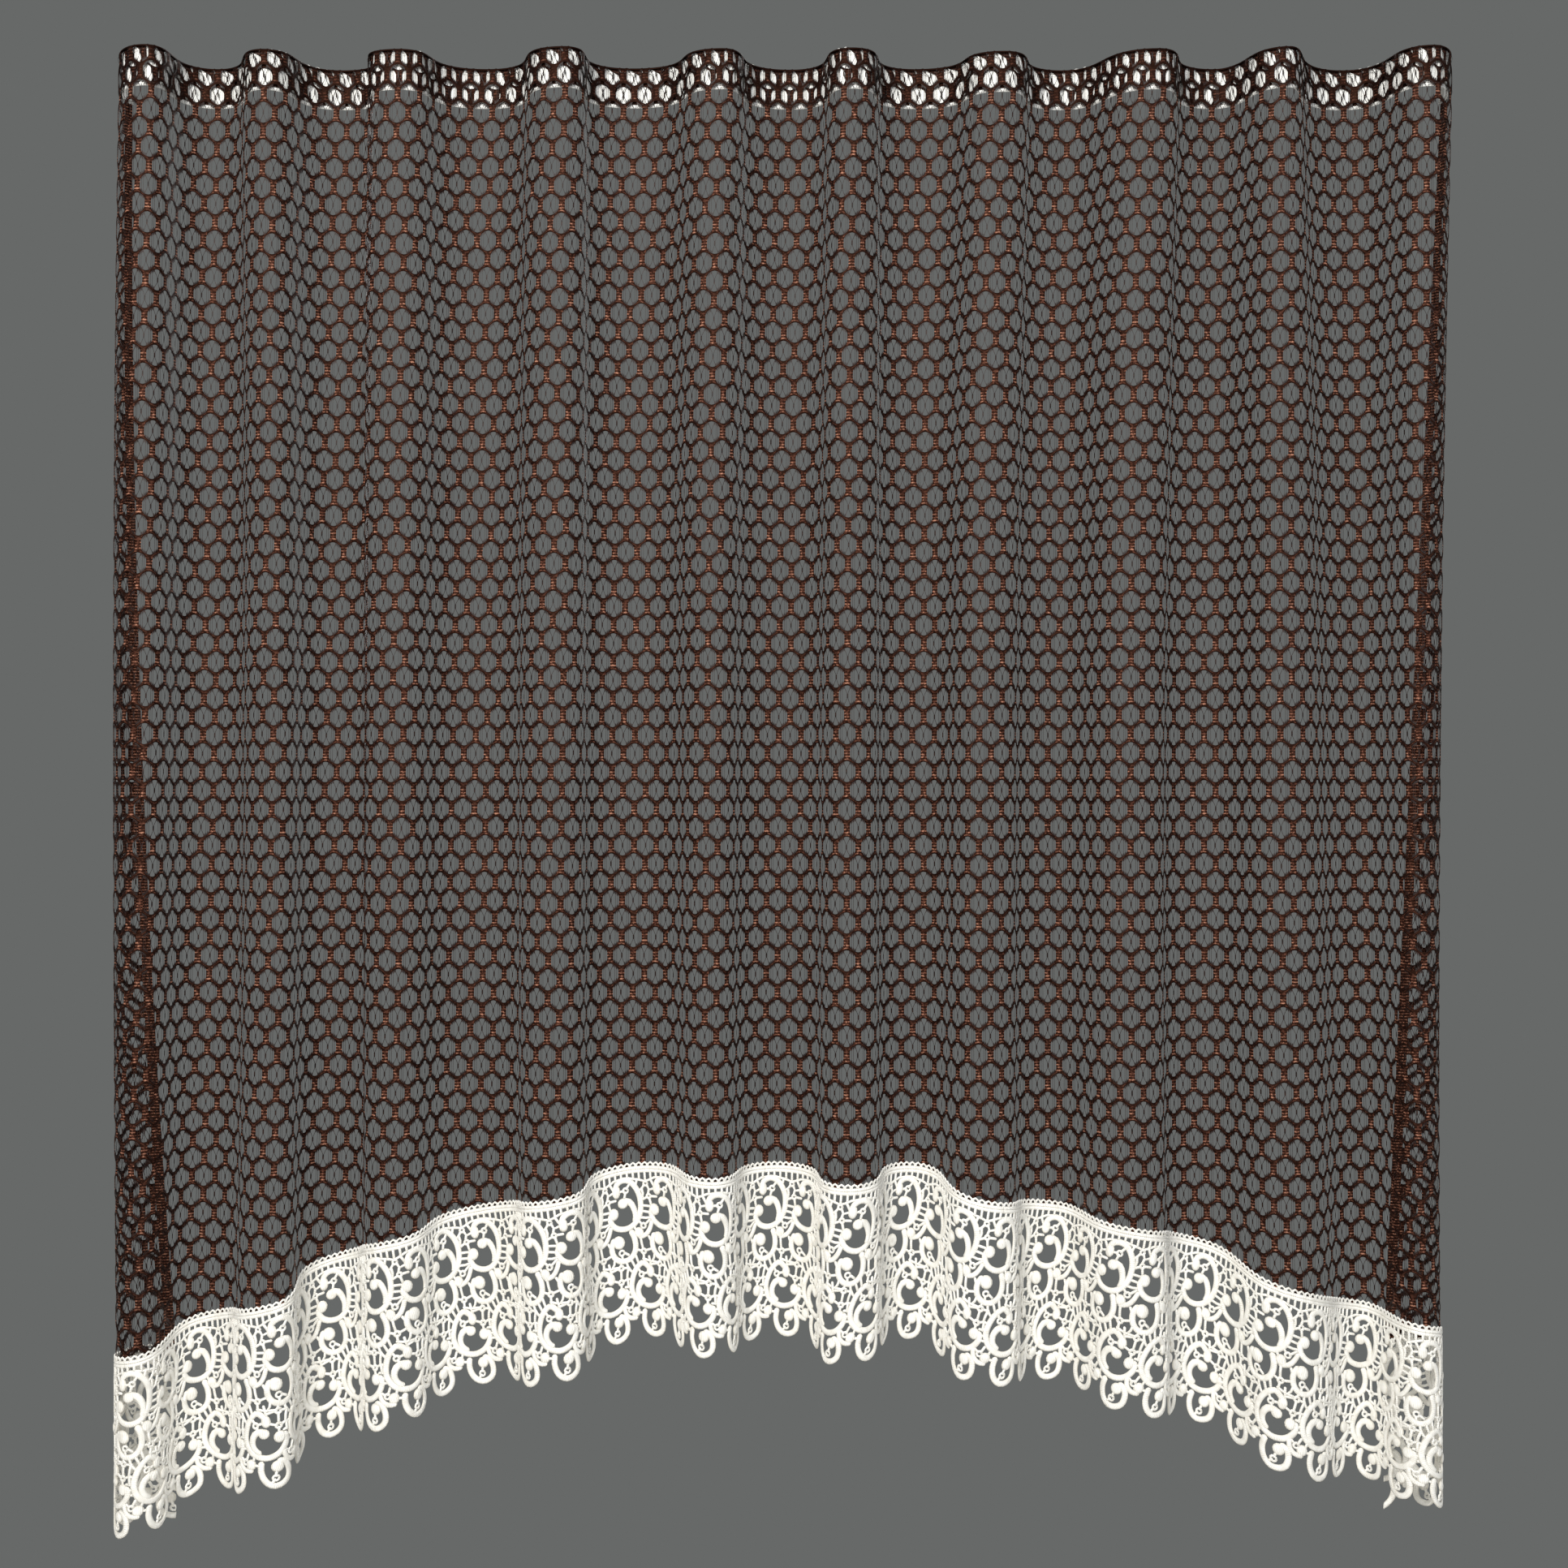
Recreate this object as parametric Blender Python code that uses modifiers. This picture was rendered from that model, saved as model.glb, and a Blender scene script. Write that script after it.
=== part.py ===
# Arched kitchen curtain: a brown net panel with a turned heading, a heading tape behind it and a
# white lace border along its arched hem. The gathered cloth hangs in ten soft folds.
#
# Metres, +Z up. The origin is on the line of the rail, at the middle of the top edge. +X is to
# the right, and the folds come forward from the rail's line, towards -Y.

import math
from collections import namedtuple

import bmesh
import bpy
import numpy as np
from mathutils import Vector
from mathutils.geometry import delaunay_2d_cdt

MM = 0.001

# Flat cloth, in millimetres
FLAT_WIDTH = 2400.0
SIDE_DROP = 1470.0
NET_THICK = 1.0
TAPE_THICK = 1.0
LACE_THICK = 1.6

# Heading, in millimetres: the net is turned to the back, and the tape covers its raw edge
TURN_DEPTH = 41.0
TURN_GAP = 2.4
TURN_CROWN = 1.8
TAPE_TOP = 2.5
TAPE_BOTTOM = 45.0
LAYER_GAP = 0.4

# Lace border, in millimetres, measured from its upper edge
LACE_REPEATS = 49
LACE_OVERLAP = 12.0
LACE_HEIGHT = 203.0
LACE_LEAN = 0.20

# Mesh fineness, in millimetres where it is a distance
COLUMNS_PER_FLANK = 6
PANEL_ROWS = 6
SEAM_ROW_ABOVE = 2.0
HEM_INSET = 1.0
LACE_ROWS = (13.0, 45.0, 80.0, 113.0, 145.0)
GAP_CLEARANCE = 4.5
GAP_REACH = (9.5, 12.5)
SIDE_CLEARANCE = 4.0
MERGE_DISTANCE = 1e-4

# A crest is a fold's front and a trough its back. Each row has the place across at the top,
# middle and hem, the reach in front of the rail's line at the top and hem, how far the flank to
# the next row curls under, at the top and hem, the swell that moves it to one side, and the
# depth of the hem below the top edge. All are in millimetres but the curls, which are shares.
Fold = namedtuple("Fold", "name x_top x_mid x_hem out_top out_hem curl_top curl_hem swell_top swell_hem drop")
FOLDS = (
    Fold("left edge", -748, -743, -704, 8, -12, 0.0, 0.0, -22, -38, 1472),
    Fold("crest 1", -712, -716, -723, 76, 80, 0.75, 0.60, -8, -2, 1458),
    Fold("trough 1", -652, -658, -669, 0, 4, 0.45, 0.55, 3, 1, 1430),
    Fold("crest 2", -585, -569, -572, 62, 80, 0.60, 1.25, -5, -8, 1400),
    Fold("trough 2", -510, -518, -518, -4, 0, 1.10, 0.50, 0, 0, 1362),
    Fold("crest 3", -431, -431, -434, 62, 74, 0.60, 0.52, -11, -9, 1329),
    Fold("trough 3", -342, -351, -353, 0, 3, 0.66, 0.70, 1, 6, 1306),
    Fold("crest 4", -246, -253, -253, 70, 76, 0.85, 0.82, -13, -12, 1284),
    Fold("trough 4", -174, -172, -169, 2, 0, 0.60, 0.45, 6, 8, 1258),
    Fold("crest 5", -69, -77, -80, 64, 74, 0.62, 0.57, -13, -10, 1262),
    Fold("trough 5", 7, -1, -6, -2, 2, 0.75, 0.80, 6, 7, 1257),
    Fold("crest 6", 76, 73, 72, 66, 76, 0.75, 0.68, -5, -3, 1269),
    Fold("trough 6", 149, 150, 151, 0, 0, 0.65, 0.50, 6, -4, 1258),
    Fold("crest 7", 248, 228, 226, 56, 74, 0.65, 0.65, -6, -5, 1287),
    Fold("trough 7", 321, 314, 314, -4, 4, 0.40, 0.32, -7, -7, 1302),
    Fold("crest 8", 420, 393, 391, 64, 76, 0.58, 0.68, -8, -2, 1317),
    Fold("trough 8", 494, 483, 480, 0, 2, 0.45, 0.37, -4, -2, 1345),
    Fold("crest 9", 565, 565, 565, 70, 74, 0.32, 0.32, -14, 5, 1384),
    Fold("trough 9", 644, 662, 662, -4, 3, 0.60, 0.52, 2, -2, 1416),
    Fold("crest 10", 724, 710, 712, 74, 78, 0.0, 0.0, 16, 36, 1424),
    Fold("right edge", 753, 726, 694, 10, -10, 0.0, 0.0, 0, 0, 1462),
)
MIDDLE_LEVEL = 0.45

# The largest gaps of one lace repeat, as tilted ovals: the centre, the half sizes, the tilt in
# degrees and the number of corners. Millimetres across the repeat and down from the upper edge.
Gap = namedtuple("Gap", "name across down half_width half_height tilt corners")
LACE_GAPS = (
    Gap("upper scroll, under its balls", 2.0, 61.5, 11.0, 9.0, 0, 7),
    Gap("upper scroll, beside its inner curl", 15.0, 40.0, 4.6, 13.0, -16, 5),
    Gap("small scroll", 3.0, 95.0, 4.6, 10.5, 0, 5),
    Gap("lower scroll, under its balls", 29.0, 157.0, 11.5, 9.5, 0, 7),
    Gap("lower scroll, beside its inner curl", 9.5, 140.0, 5.0, 13.5, 16, 5),
    Gap("hanging loop", 21.5, 182.0, 4.2, 9.0, 8, 5),
)

# The scalloped lower edge of one repeat: the hanging loop and the small scallop beside it.
LOOP_CENTRE = 28.5
LOOP_HALF_WIDTH = 16.0
LOOP_LEVEL = 186.0
LOOP_CORNERS = 5
SCALLOP_CENTRE = 53.5
SCALLOP_HALF_WIDTH = 8.5
SCALLOP_LEVEL = 177.0
SCALLOP_DEPTH = 7.0
SCALLOP_CORNERS = 3
PITCH = FLAT_WIDTH / LACE_REPEATS

# The drape is worked out at these levels, and at these places along the cloth.
LEVELS = 33
SAMPLES_PER_FLANK = 40
TABLE_COLUMNS = 1841
DEEPEST = SIDE_DROP + LACE_HEIGHT + 40.0
DIRECTION_STEPS = (-3, 4)

# Finishes: the colour and the roughness
BROWN_NET = ("Brown net", (0.050, 0.022, 0.014), 0.75)
WHITE_TAPE = ("White tape", (0.80, 0.80, 0.78), 0.80)
WHITE_LACE = ("White lace", (0.86, 0.85, 0.81), 0.85)


def column(name):
    """One named column of the fold table."""
    return np.array([getattr(fold, name) for fold in FOLDS], float)


def through_three(top, middle, low, level):
    """The parabola through the values at the top, the middle level and the hem."""
    m = MIDDLE_LEVEL
    at_top = (level - m) * (level - 1) / m
    at_middle = level * (level - 1) / (m * (m - 1))
    at_low = level * (level - m) / (1 - m)
    return top * at_top + middle * at_middle + low * at_low


def fold_line(level):
    """The folded line of the cloth at one level, 0 at the top and 1 at the side hem."""
    held = min(level, 1.0)
    x = through_three(column("x_top"), column("x_mid"), column("x_hem"), held)
    out = column("out_top") + (column("out_hem") - column("out_top")) * held
    curl = column("curl_top") + (column("curl_hem") - column("curl_top")) * held**2
    swell = column("swell_top") + (column("swell_hem") - column("swell_top")) * held
    t = np.arange(SAMPLES_PER_FLANK) / SAMPLES_PER_FLANK
    xs = []
    ys = []
    for i in range(len(FOLDS) - 1):
        span = x[i + 1] - x[i]
        eased = t + curl[i] * np.sin(2 * math.pi * t) / (2 * math.pi)
        xs.append(x[i] + span * eased + swell[i] * np.sin(math.pi * t))
        ys.append(-(out[i] + (out[i + 1] - out[i]) * (1 - np.cos(math.pi * t)) / 2))
    line_x = np.append(np.concatenate(xs), x[-1])
    line_y = np.append(np.concatenate(ys), -out[-1])
    return line_x, line_y


def drape_table():
    """Evenly spaced places along the cloth at each level, and where the crests and troughs fall."""
    share = np.linspace(0, 1, TABLE_COLUMNS)
    places = np.empty((LEVELS, TABLE_COLUMNS, 2))
    for row, level in enumerate(np.linspace(0, DEEPEST / SIDE_DROP, LEVELS)):
        x, y = fold_line(level)
        run = np.concatenate([[0.0], np.cumsum(np.hypot(np.diff(x), np.diff(y)))])
        places[row, :, 0] = np.interp(share, run / run[-1], x)
        places[row, :, 1] = np.interp(share, run / run[-1], y)
    x, y = fold_line(1.0)
    run = np.concatenate([[0.0], np.cumsum(np.hypot(np.diff(x), np.diff(y)))])
    return places, run[::SAMPLES_PER_FLANK] / run[-1]


PLACES, FOLD_SHARES = drape_table()


def draped(across, down, offset=0.0):
    """Flat cloth to hung cloth, in millimetres. A positive offset is on the room side."""
    across, down, offset = np.broadcast_arrays(
        np.asarray(across, float), np.asarray(down, float), np.asarray(offset, float)
    )
    # The stiff heading keeps one folded line, and the folds change only below it.
    row = np.clip((down - TAPE_BOTTOM) / (DEEPEST - TAPE_BOTTOM), 0, 1) * (LEVELS - 1)
    low_row = np.minimum(row.astype(int), LEVELS - 2)
    row_part = (row - low_row)[..., None]
    col = np.clip(across / FLAT_WIDTH, 0, 1) * (TABLE_COLUMNS - 1)
    low_col = np.minimum(col.astype(int), TABLE_COLUMNS - 2)
    col_part = (col - low_col)[..., None]

    def at(step):
        here = np.clip(low_col + step, 0, TABLE_COLUMNS - 1)
        return PLACES[low_row, here] * (1 - row_part) + PLACES[low_row + 1, here] * row_part

    place = at(0) * (1 - col_part) + at(1) * col_part
    behind, ahead = DIRECTION_STEPS
    along = at(ahead) - at(behind)
    along = along / np.linalg.norm(along, axis=-1, keepdims=True)
    x = place[..., 0] + along[..., 1] * offset
    y = place[..., 1] - along[..., 0] * offset
    return np.stack([x, y, -down], axis=-1)


def hem_drop(across):
    """How far the net's lace seam lies below the top edge."""
    share = np.asarray(across, float) / FLAT_WIDTH
    drops = column("drop")
    slopes = np.gradient(drops, FOLD_SHARES)
    i = np.clip(np.searchsorted(FOLD_SHARES, share, side="right") - 1, 0, len(drops) - 2)
    width = FOLD_SHARES[i + 1] - FOLD_SHARES[i]
    t = np.clip((share - FOLD_SHARES[i]) / width, 0, 1)
    start = (2 * t**3 - 3 * t**2 + 1) * drops[i] + (t**3 - 2 * t**2 + t) * width * slopes[i]
    end = (3 * t**2 - 2 * t**3) * drops[i + 1] + (t**3 - t**2) * width * slopes[i + 1]
    return start + end


def lace_place(along, down, offset):
    """Flat lace to hung lace: it leans a little, at right angles to the slope of the arch."""
    along = np.asarray(along, float)
    down = np.asarray(down, float)
    lean = LACE_LEAN * np.sin(2 * math.pi * along / FLAT_WIDTH)
    across = along + lean * np.maximum(down - LACE_OVERLAP, 0)
    return draped(across, hem_drop(along) + down, offset)


def cloth_columns():
    """The mesh columns: the same number on each flank of a fold."""
    steps = np.arange((len(FOLDS) - 1) * COLUMNS_PER_FLANK + 1) / COLUMNS_PER_FLANK
    return np.interp(steps, np.arange(len(FOLDS)), FOLD_SHARES) * FLAT_WIDTH


def material(finish):
    name, colour, roughness = finish
    made = bpy.data.materials.new(name)
    made.use_nodes = True
    shader = made.node_tree.nodes["Principled BSDF"]
    shader.inputs["Base Color"].default_value = (*colour, 1.0)
    shader.inputs["Roughness"].default_value = roughness
    shader.inputs["Metallic"].default_value = 0.0
    return made


def add_sheet(name, mesh, thick, surface, group):
    """A named object from an open surface, given its thickness by Solidify."""
    mesh.materials.append(surface)
    mesh.shade_smooth()
    sheet = bpy.data.objects.new(name, mesh)
    group.objects.link(sheet)
    solid = sheet.modifiers.new("Thickness", "SOLIDIFY")
    solid.thickness = thick * MM
    solid.offset = 0.0
    return sheet


def grid_mesh(name, columns, rows, place):
    """A grid whose vertex in column i and row j goes to place(i, j), facing the room."""
    bm = bmesh.new()
    bmesh.ops.create_grid(bm, x_segments=columns - 1, y_segments=rows - 1, size=0.5)
    for vert in bm.verts:
        i = round((vert.co.x + 0.5) * (columns - 1))
        j = round((0.5 - vert.co.y) * (rows - 1))
        vert.co = Vector(place(i, j)) * MM
    mesh = bpy.data.meshes.new(name)
    bm.to_mesh(mesh)
    bm.free()
    return mesh


def net_panel(columns, surface, group):
    """The net: the turned heading, the panel, and the narrow arched hem under the lace."""
    turn = [(TURN_DEPTH, -TURN_GAP), (TURN_CROWN, -TURN_GAP), (0.0, -TURN_GAP / 2), (TURN_CROWN, 0.0)]
    seam = hem_drop(columns)
    last = len(turn) + PANEL_ROWS

    def place(i, j):
        if j < len(turn):
            down, offset = turn[j]
            return draped(columns[i], down, offset)
        if j == last:
            return draped(columns[i], seam[i] + LACE_OVERLAP - HEM_INSET)
        share = (j - len(turn)) / (PANEL_ROWS - 1)
        reach = seam[i] - SEAM_ROW_ABOVE - TAPE_BOTTOM
        return draped(columns[i], TAPE_BOTTOM + reach * share)

    mesh = grid_mesh("net_panel", len(columns), last + 1, place)
    return add_sheet("net_panel", mesh, NET_THICK, surface, group)


def heading_tape(columns, surface, group):
    """The white gathering tape, behind the turned net."""
    offset = -(TURN_GAP + NET_THICK / 2 + LAYER_GAP + TAPE_THICK / 2)
    rows = (TAPE_TOP, TAPE_BOTTOM)

    def place(i, j):
        return draped(columns[i], rows[j], offset)

    mesh = grid_mesh("heading_tape", len(columns), len(rows), place)
    return add_sheet("heading_tape", mesh, TAPE_THICK, surface, group)


def oval(gap, shift):
    """The corners of one gap, in flat lace."""
    tilt = math.radians(gap.tilt)
    corners = []
    for k in range(gap.corners):
        turn = 2 * math.pi * (k + 0.5) / gap.corners
        x = gap.half_width * math.sin(turn)
        y = gap.half_height * math.cos(turn)
        corners.append(
            (
                shift + gap.across + x * math.cos(tilt) - y * math.sin(tilt),
                gap.down + x * math.sin(tilt) + y * math.cos(tilt),
            )
        )
    return corners


def scalloped_edge():
    """The lower edge from left to right: a hanging loop and a small scallop in each repeat."""
    bulges = (
        (LOOP_CENTRE, LOOP_HALF_WIDTH, LOOP_LEVEL, LACE_HEIGHT - LOOP_LEVEL, LOOP_CORNERS),
        (SCALLOP_CENTRE, SCALLOP_HALF_WIDTH, SCALLOP_LEVEL, SCALLOP_DEPTH, SCALLOP_CORNERS),
    )
    edge = []
    for repeat in range(-1, LACE_REPEATS):
        for centre, half_width, level, reach, corners in bulges:
            middle = repeat * PITCH + PITCH / 2 + centre
            for k in range(corners):
                turn = math.pi * (k / (corners - 1) - 0.5)
                edge.append((middle + half_width * math.sin(turn), level + reach * math.cos(turn)))
    inside = [point for point in edge if SIDE_CLEARANCE < point[0] < FLAT_WIDTH - SIDE_CLEARANCE]
    return [(0.0, SCALLOP_LEVEL)] + inside + [(FLAT_WIDTH, SCALLOP_LEVEL)]


def lace_gaps():
    """Every gap of every repeat that lies wholly inside the border."""
    gaps = []
    for repeat in range(-1, LACE_REPEATS):
        for gap in LACE_GAPS:
            corners = oval(gap, repeat * PITCH + PITCH / 2)
            if all(SIDE_CLEARANCE < x < FLAT_WIDTH - SIDE_CLEARANCE for x, _ in corners):
                gaps.append(corners)
    return gaps


def inner_points(columns, gaps):
    """Points on the fold columns, clear of the gaps, that carry the bend between them."""
    edges = np.array([corner for corners in gaps for corner in corners])
    centres = np.array([np.mean(corners, axis=0) for corners in gaps])
    points = []
    for x in columns[1:-1]:
        lean = LACE_LEAN * math.sin(2 * math.pi * x / FLAT_WIDTH)
        for down in LACE_ROWS:
            here = np.array((x - lean * (down - LACE_OVERLAP), down))
            inside = SIDE_CLEARANCE < here[0] < FLAT_WIDTH - SIDE_CLEARANCE
            near_edge = np.hypot(*(edges - here).T).min() < GAP_CLEARANCE
            near_centre = (np.abs(centres - here) < GAP_REACH).all(axis=1).any()
            if inside and not near_edge and not near_centre:
                points.append(tuple(here))
    return points


def within(outline, x, y):
    """Whether a point lies inside a closed outline, by counting the sides to its right."""
    start = np.array(outline)
    end = np.roll(start, -1, axis=0)
    crosses = (start[:, 1] > y) != (end[:, 1] > y)
    rise = np.where(crosses, end[:, 1] - start[:, 1], 1.0)
    at = start[:, 0] + (end[:, 0] - start[:, 0]) * (y - start[:, 1]) / rise
    return bool((crosses & (at > x)).sum() % 2)


def filled_lace(columns):
    """The flat lace as triangles: its outline filled, without the gaps."""
    outline = [(x, 0.0) for x in columns] + scalloped_edge()[::-1]
    gaps = lace_gaps()
    points = []
    edges = []
    loop_of = []
    for number, loop in enumerate([outline] + gaps):
        first = len(points)
        points += loop
        edges += [(first + k, first + (k + 1) % len(loop)) for k in range(len(loop))]
        loop_of += [number] * len(loop)
    inner = inner_points(columns, gaps)
    points += inner
    loop_of += [-1] * len(inner)
    found = delaunay_2d_cdt([Vector(p) for p in points], edges, [], 0, MERGE_DISTANCE)
    corners = np.array([tuple(v) for v in found[0]])
    faces = []
    for face in found[2]:
        loops = {loop_of[found[3][v][0]] for v in face}
        if len(loops) > 1 or loops == {-1}:
            faces.append(face)
        elif loops == {0} and within(outline, *corners[face].mean(axis=0)):
            faces.append(face)
    return corners, faces


def lace_border(columns, surface, group):
    """The lace border, filled flat and then hung on the folds in front of the net's hem."""
    corners, faces = filled_lace(columns)
    offset = NET_THICK / 2 + LAYER_GAP + LACE_THICK / 2
    mesh = bpy.data.meshes.new("lace_border")
    mesh.from_pydata(lace_place(corners[:, 0], corners[:, 1], offset) * MM, [], faces)
    return add_sheet("lace_border", mesh, LACE_THICK, surface, group)


def main():
    for old in list(bpy.data.objects):
        bpy.data.objects.remove(old, do_unlink=True)
    curtain = bpy.data.collections.new("Arched kitchen curtain")
    bpy.context.scene.collection.children.link(curtain)
    columns = cloth_columns()
    net_panel(columns, material(BROWN_NET), curtain)
    heading_tape(columns, material(WHITE_TAPE), curtain)
    lace_border(columns, material(WHITE_LACE), curtain)


main()
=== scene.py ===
# Arched kitchen curtain. A brown openwork net hangs in ten soft folds from its taped heading,
# and a deep white guipure lace border is sewn along its arched hem.
import math
import bpy
import numpy as np
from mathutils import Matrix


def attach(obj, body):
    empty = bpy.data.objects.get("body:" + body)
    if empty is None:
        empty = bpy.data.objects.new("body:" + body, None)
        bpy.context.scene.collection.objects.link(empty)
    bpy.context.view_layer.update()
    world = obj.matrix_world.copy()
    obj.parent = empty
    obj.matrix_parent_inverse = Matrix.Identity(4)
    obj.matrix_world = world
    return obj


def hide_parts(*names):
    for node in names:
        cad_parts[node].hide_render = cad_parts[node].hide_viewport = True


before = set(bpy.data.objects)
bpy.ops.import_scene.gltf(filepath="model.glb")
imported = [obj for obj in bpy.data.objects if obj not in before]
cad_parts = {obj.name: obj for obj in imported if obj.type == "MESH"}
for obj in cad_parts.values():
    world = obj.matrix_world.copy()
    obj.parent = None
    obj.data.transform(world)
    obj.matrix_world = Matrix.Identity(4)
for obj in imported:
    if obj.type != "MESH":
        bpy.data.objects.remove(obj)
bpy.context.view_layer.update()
mm = 0.001
fullTurn = 2 * math.pi
tiny = 1e-6

# The hung cloth, in millimetres. It is the drape that the solids have, so each piece lands on them.
cloth = {
    "flatWidth": 2400.0,  # the cut width of all three pieces
    "sideDrop": 1470.0,  # the net's straight side edges
    "tapeBottom": 45.0,  # down to here the tape holds the folds as they are at the top
    "laceHeight": 203.0,
    "laceOverlap": 12.0,  # how far the border lies over the net
    "laceRepeats": 49,
    "laceLean": 0.20,  # mm for each mm down, where the arch slopes most
    "middleLevel": 0.45,  # the share of the drop at which the folds' middle places are given
    "spare": 40.0,  # the drape is worked out this far below the lace
    "levels": 33,  # rows and columns of the drape's table
    "columns": 1841,
    "flankSteps": 40,  # places along one side of a fold
}
flatWidth = cloth["flatWidth"]
lacePitch = flatWidth / cloth["laceRepeats"]
deepest = cloth["sideDrop"] + cloth["laceHeight"] + cloth["spare"]

# Crests and troughs from left to right: x at the top, middle and hem, reach at the top and hem,
# curl at the top and hem, swell at the top and hem, and the depth of the seam.
foldNames = (
    "xTop", "xMid", "xHem", "outTop", "outHem",
    "curlTop", "curlHem", "swellTop", "swellHem", "drop",
)
foldTable = np.array([
    (-748, -743, -704, 8, -12, 0.0, 0.0, -22, -38, 1472),
    (-712, -716, -723, 76, 80, 0.75, 0.60, -8, -2, 1458),
    (-652, -658, -669, 0, 4, 0.45, 0.55, 3, 1, 1430),
    (-585, -569, -572, 62, 80, 0.60, 1.25, -5, -8, 1400),
    (-510, -518, -518, -4, 0, 1.10, 0.50, 0, 0, 1362),
    (-431, -431, -434, 62, 74, 0.60, 0.52, -11, -9, 1329),
    (-342, -351, -353, 0, 3, 0.66, 0.70, 1, 6, 1306),
    (-246, -253, -253, 70, 76, 0.85, 0.82, -13, -12, 1284),
    (-174, -172, -169, 2, 0, 0.60, 0.45, 6, 8, 1258),
    (-69, -77, -80, 64, 74, 0.62, 0.57, -13, -10, 1262),
    (7, -1, -6, -2, 2, 0.75, 0.80, 6, 7, 1257),
    (76, 73, 72, 66, 76, 0.75, 0.68, -5, -3, 1269),
    (149, 150, 151, 0, 0, 0.65, 0.50, 6, -4, 1258),
    (248, 228, 226, 56, 74, 0.65, 0.65, -6, -5, 1287),
    (321, 314, 314, -4, 4, 0.40, 0.32, -7, -7, 1302),
    (420, 393, 391, 64, 76, 0.58, 0.68, -8, -2, 1317),
    (494, 483, 480, 0, 2, 0.45, 0.37, -4, -2, 1345),
    (565, 565, 565, 70, 74, 0.32, 0.32, -14, 5, 1384),
    (644, 662, 662, -4, 3, 0.60, 0.52, 2, -2, 1416),
    (724, 710, 712, 74, 78, 0.0, 0.0, 16, 36, 1424),
    (753, 726, 694, 10, -10, 0.0, 0.0, 0, 0, 1462),
], float)
fold = dict(zip(foldNames, foldTable.T))


def throughThree(top, middle, low, level):
    # A parabola through the three places that are given.
    m = cloth["middleLevel"]
    atTop = (level - m) * (level - 1) / m
    atMiddle = level * (level - 1) / (m * (m - 1))
    atLow = level * (level - m) / (1 - m)
    return top * atTop + middle * atMiddle + low * atLow


def foldLine(level):
    # The cloth's line seen from above, at a share of the drop.
    held = min(level, 1.0)
    x = throughThree(fold["xTop"], fold["xMid"], fold["xHem"], held)
    out = fold["outTop"] + (fold["outHem"] - fold["outTop"]) * held
    curl = fold["curlTop"] + (fold["curlHem"] - fold["curlTop"]) * held**2
    swell = fold["swellTop"] + (fold["swellHem"] - fold["swellTop"]) * held
    t = np.arange(cloth["flankSteps"]) / cloth["flankSteps"]
    xs, ys = [], []
    for i in range(len(foldTable) - 1):
        eased = t + curl[i] * np.sin(fullTurn * t) / fullTurn
        xs.append(x[i] + (x[i + 1] - x[i]) * eased + swell[i] * np.sin(math.pi * t))
        ys.append(-(out[i] + (out[i + 1] - out[i]) * (1 - np.cos(math.pi * t)) / 2))
    return np.append(np.concatenate(xs), x[-1]), np.append(np.concatenate(ys), -out[-1])


def runAlong(x, y):
    return np.concatenate([[0.0], np.cumsum(np.hypot(np.diff(x), np.diff(y)))])


def drapeTable():
    # Evenly spaced places along the cloth, level by level, and the shares at which the folds lie.
    levels, columns = cloth["levels"], cloth["columns"]
    share = np.linspace(0, 1, columns)
    places = np.empty((levels, columns, 2))
    for row, level in enumerate(np.linspace(0, deepest / cloth["sideDrop"], levels)):
        x, y = foldLine(level)
        run = runAlong(x, y)
        places[row, :, 0] = np.interp(share, run / run[-1], x)
        places[row, :, 1] = np.interp(share, run / run[-1], y)
    run = runAlong(*foldLine(1.0))
    return places, run[::cloth["flankSteps"]] / run[-1]


drapePlaces, foldShares = drapeTable()


def draped(across, down, offset=0.0):
    # Flat cloth to hung cloth. A positive offset is on the room side.
    across, down, offset = np.broadcast_arrays(
        np.asarray(across, float), np.asarray(down, float), np.asarray(offset, float)
    )
    tapeBottom, levels, columns = cloth["tapeBottom"], cloth["levels"], cloth["columns"]
    row = np.clip((down - tapeBottom) / (deepest - tapeBottom), 0, 1) * (levels - 1)
    lowRow = np.minimum(row.astype(int), levels - 2)
    rowPart = (row - lowRow)[..., None]
    col = np.clip(across / flatWidth, 0, 1) * (columns - 1)
    lowCol = np.minimum(col.astype(int), columns - 2)
    colPart = (col - lowCol)[..., None]

    def at(step):
        here = np.clip(lowCol + step, 0, columns - 1)
        return drapePlaces[lowRow, here] * (1 - rowPart) + drapePlaces[lowRow + 1, here] * rowPart

    place = at(0) * (1 - colPart) + at(1) * colPart
    along = at(4) - at(-3)  # the cloth's direction, read over seven columns of the table
    along = along / np.linalg.norm(along, axis=-1, keepdims=True)
    x = place[..., 0] + along[..., 1] * offset
    y = place[..., 1] - along[..., 0] * offset
    return np.stack([x, y, -down], axis=-1)


def seamDrop(across):
    # How far the lace seam lies below the top edge: a smooth curve through the folds' depths.
    share = np.asarray(across, float) / flatWidth
    drops = fold["drop"]
    slopes = np.gradient(drops, foldShares)
    i = np.clip(np.searchsorted(foldShares, share, side="right") - 1, 0, len(drops) - 2)
    width = foldShares[i + 1] - foldShares[i]
    t = np.clip((share - foldShares[i]) / width, 0, 1)
    start = (2 * t**3 - 3 * t**2 + 1) * drops[i] + (t**3 - 2 * t**2 + t) * width * slopes[i]
    end = (3 * t**2 - 2 * t**3) * drops[i + 1] + (t**3 - t**2) * width * slopes[i + 1]
    return start + end


def lacePlace(along, down, offset):
    # The border leans a little, at right angles to the slope of the arch.
    lean = cloth["laceLean"] * np.sin(fullTurn * along / flatWidth)
    across = along + lean * np.maximum(down - cloth["laceOverlap"], 0)
    return draped(across, seamDrop(along) + down, offset)


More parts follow.
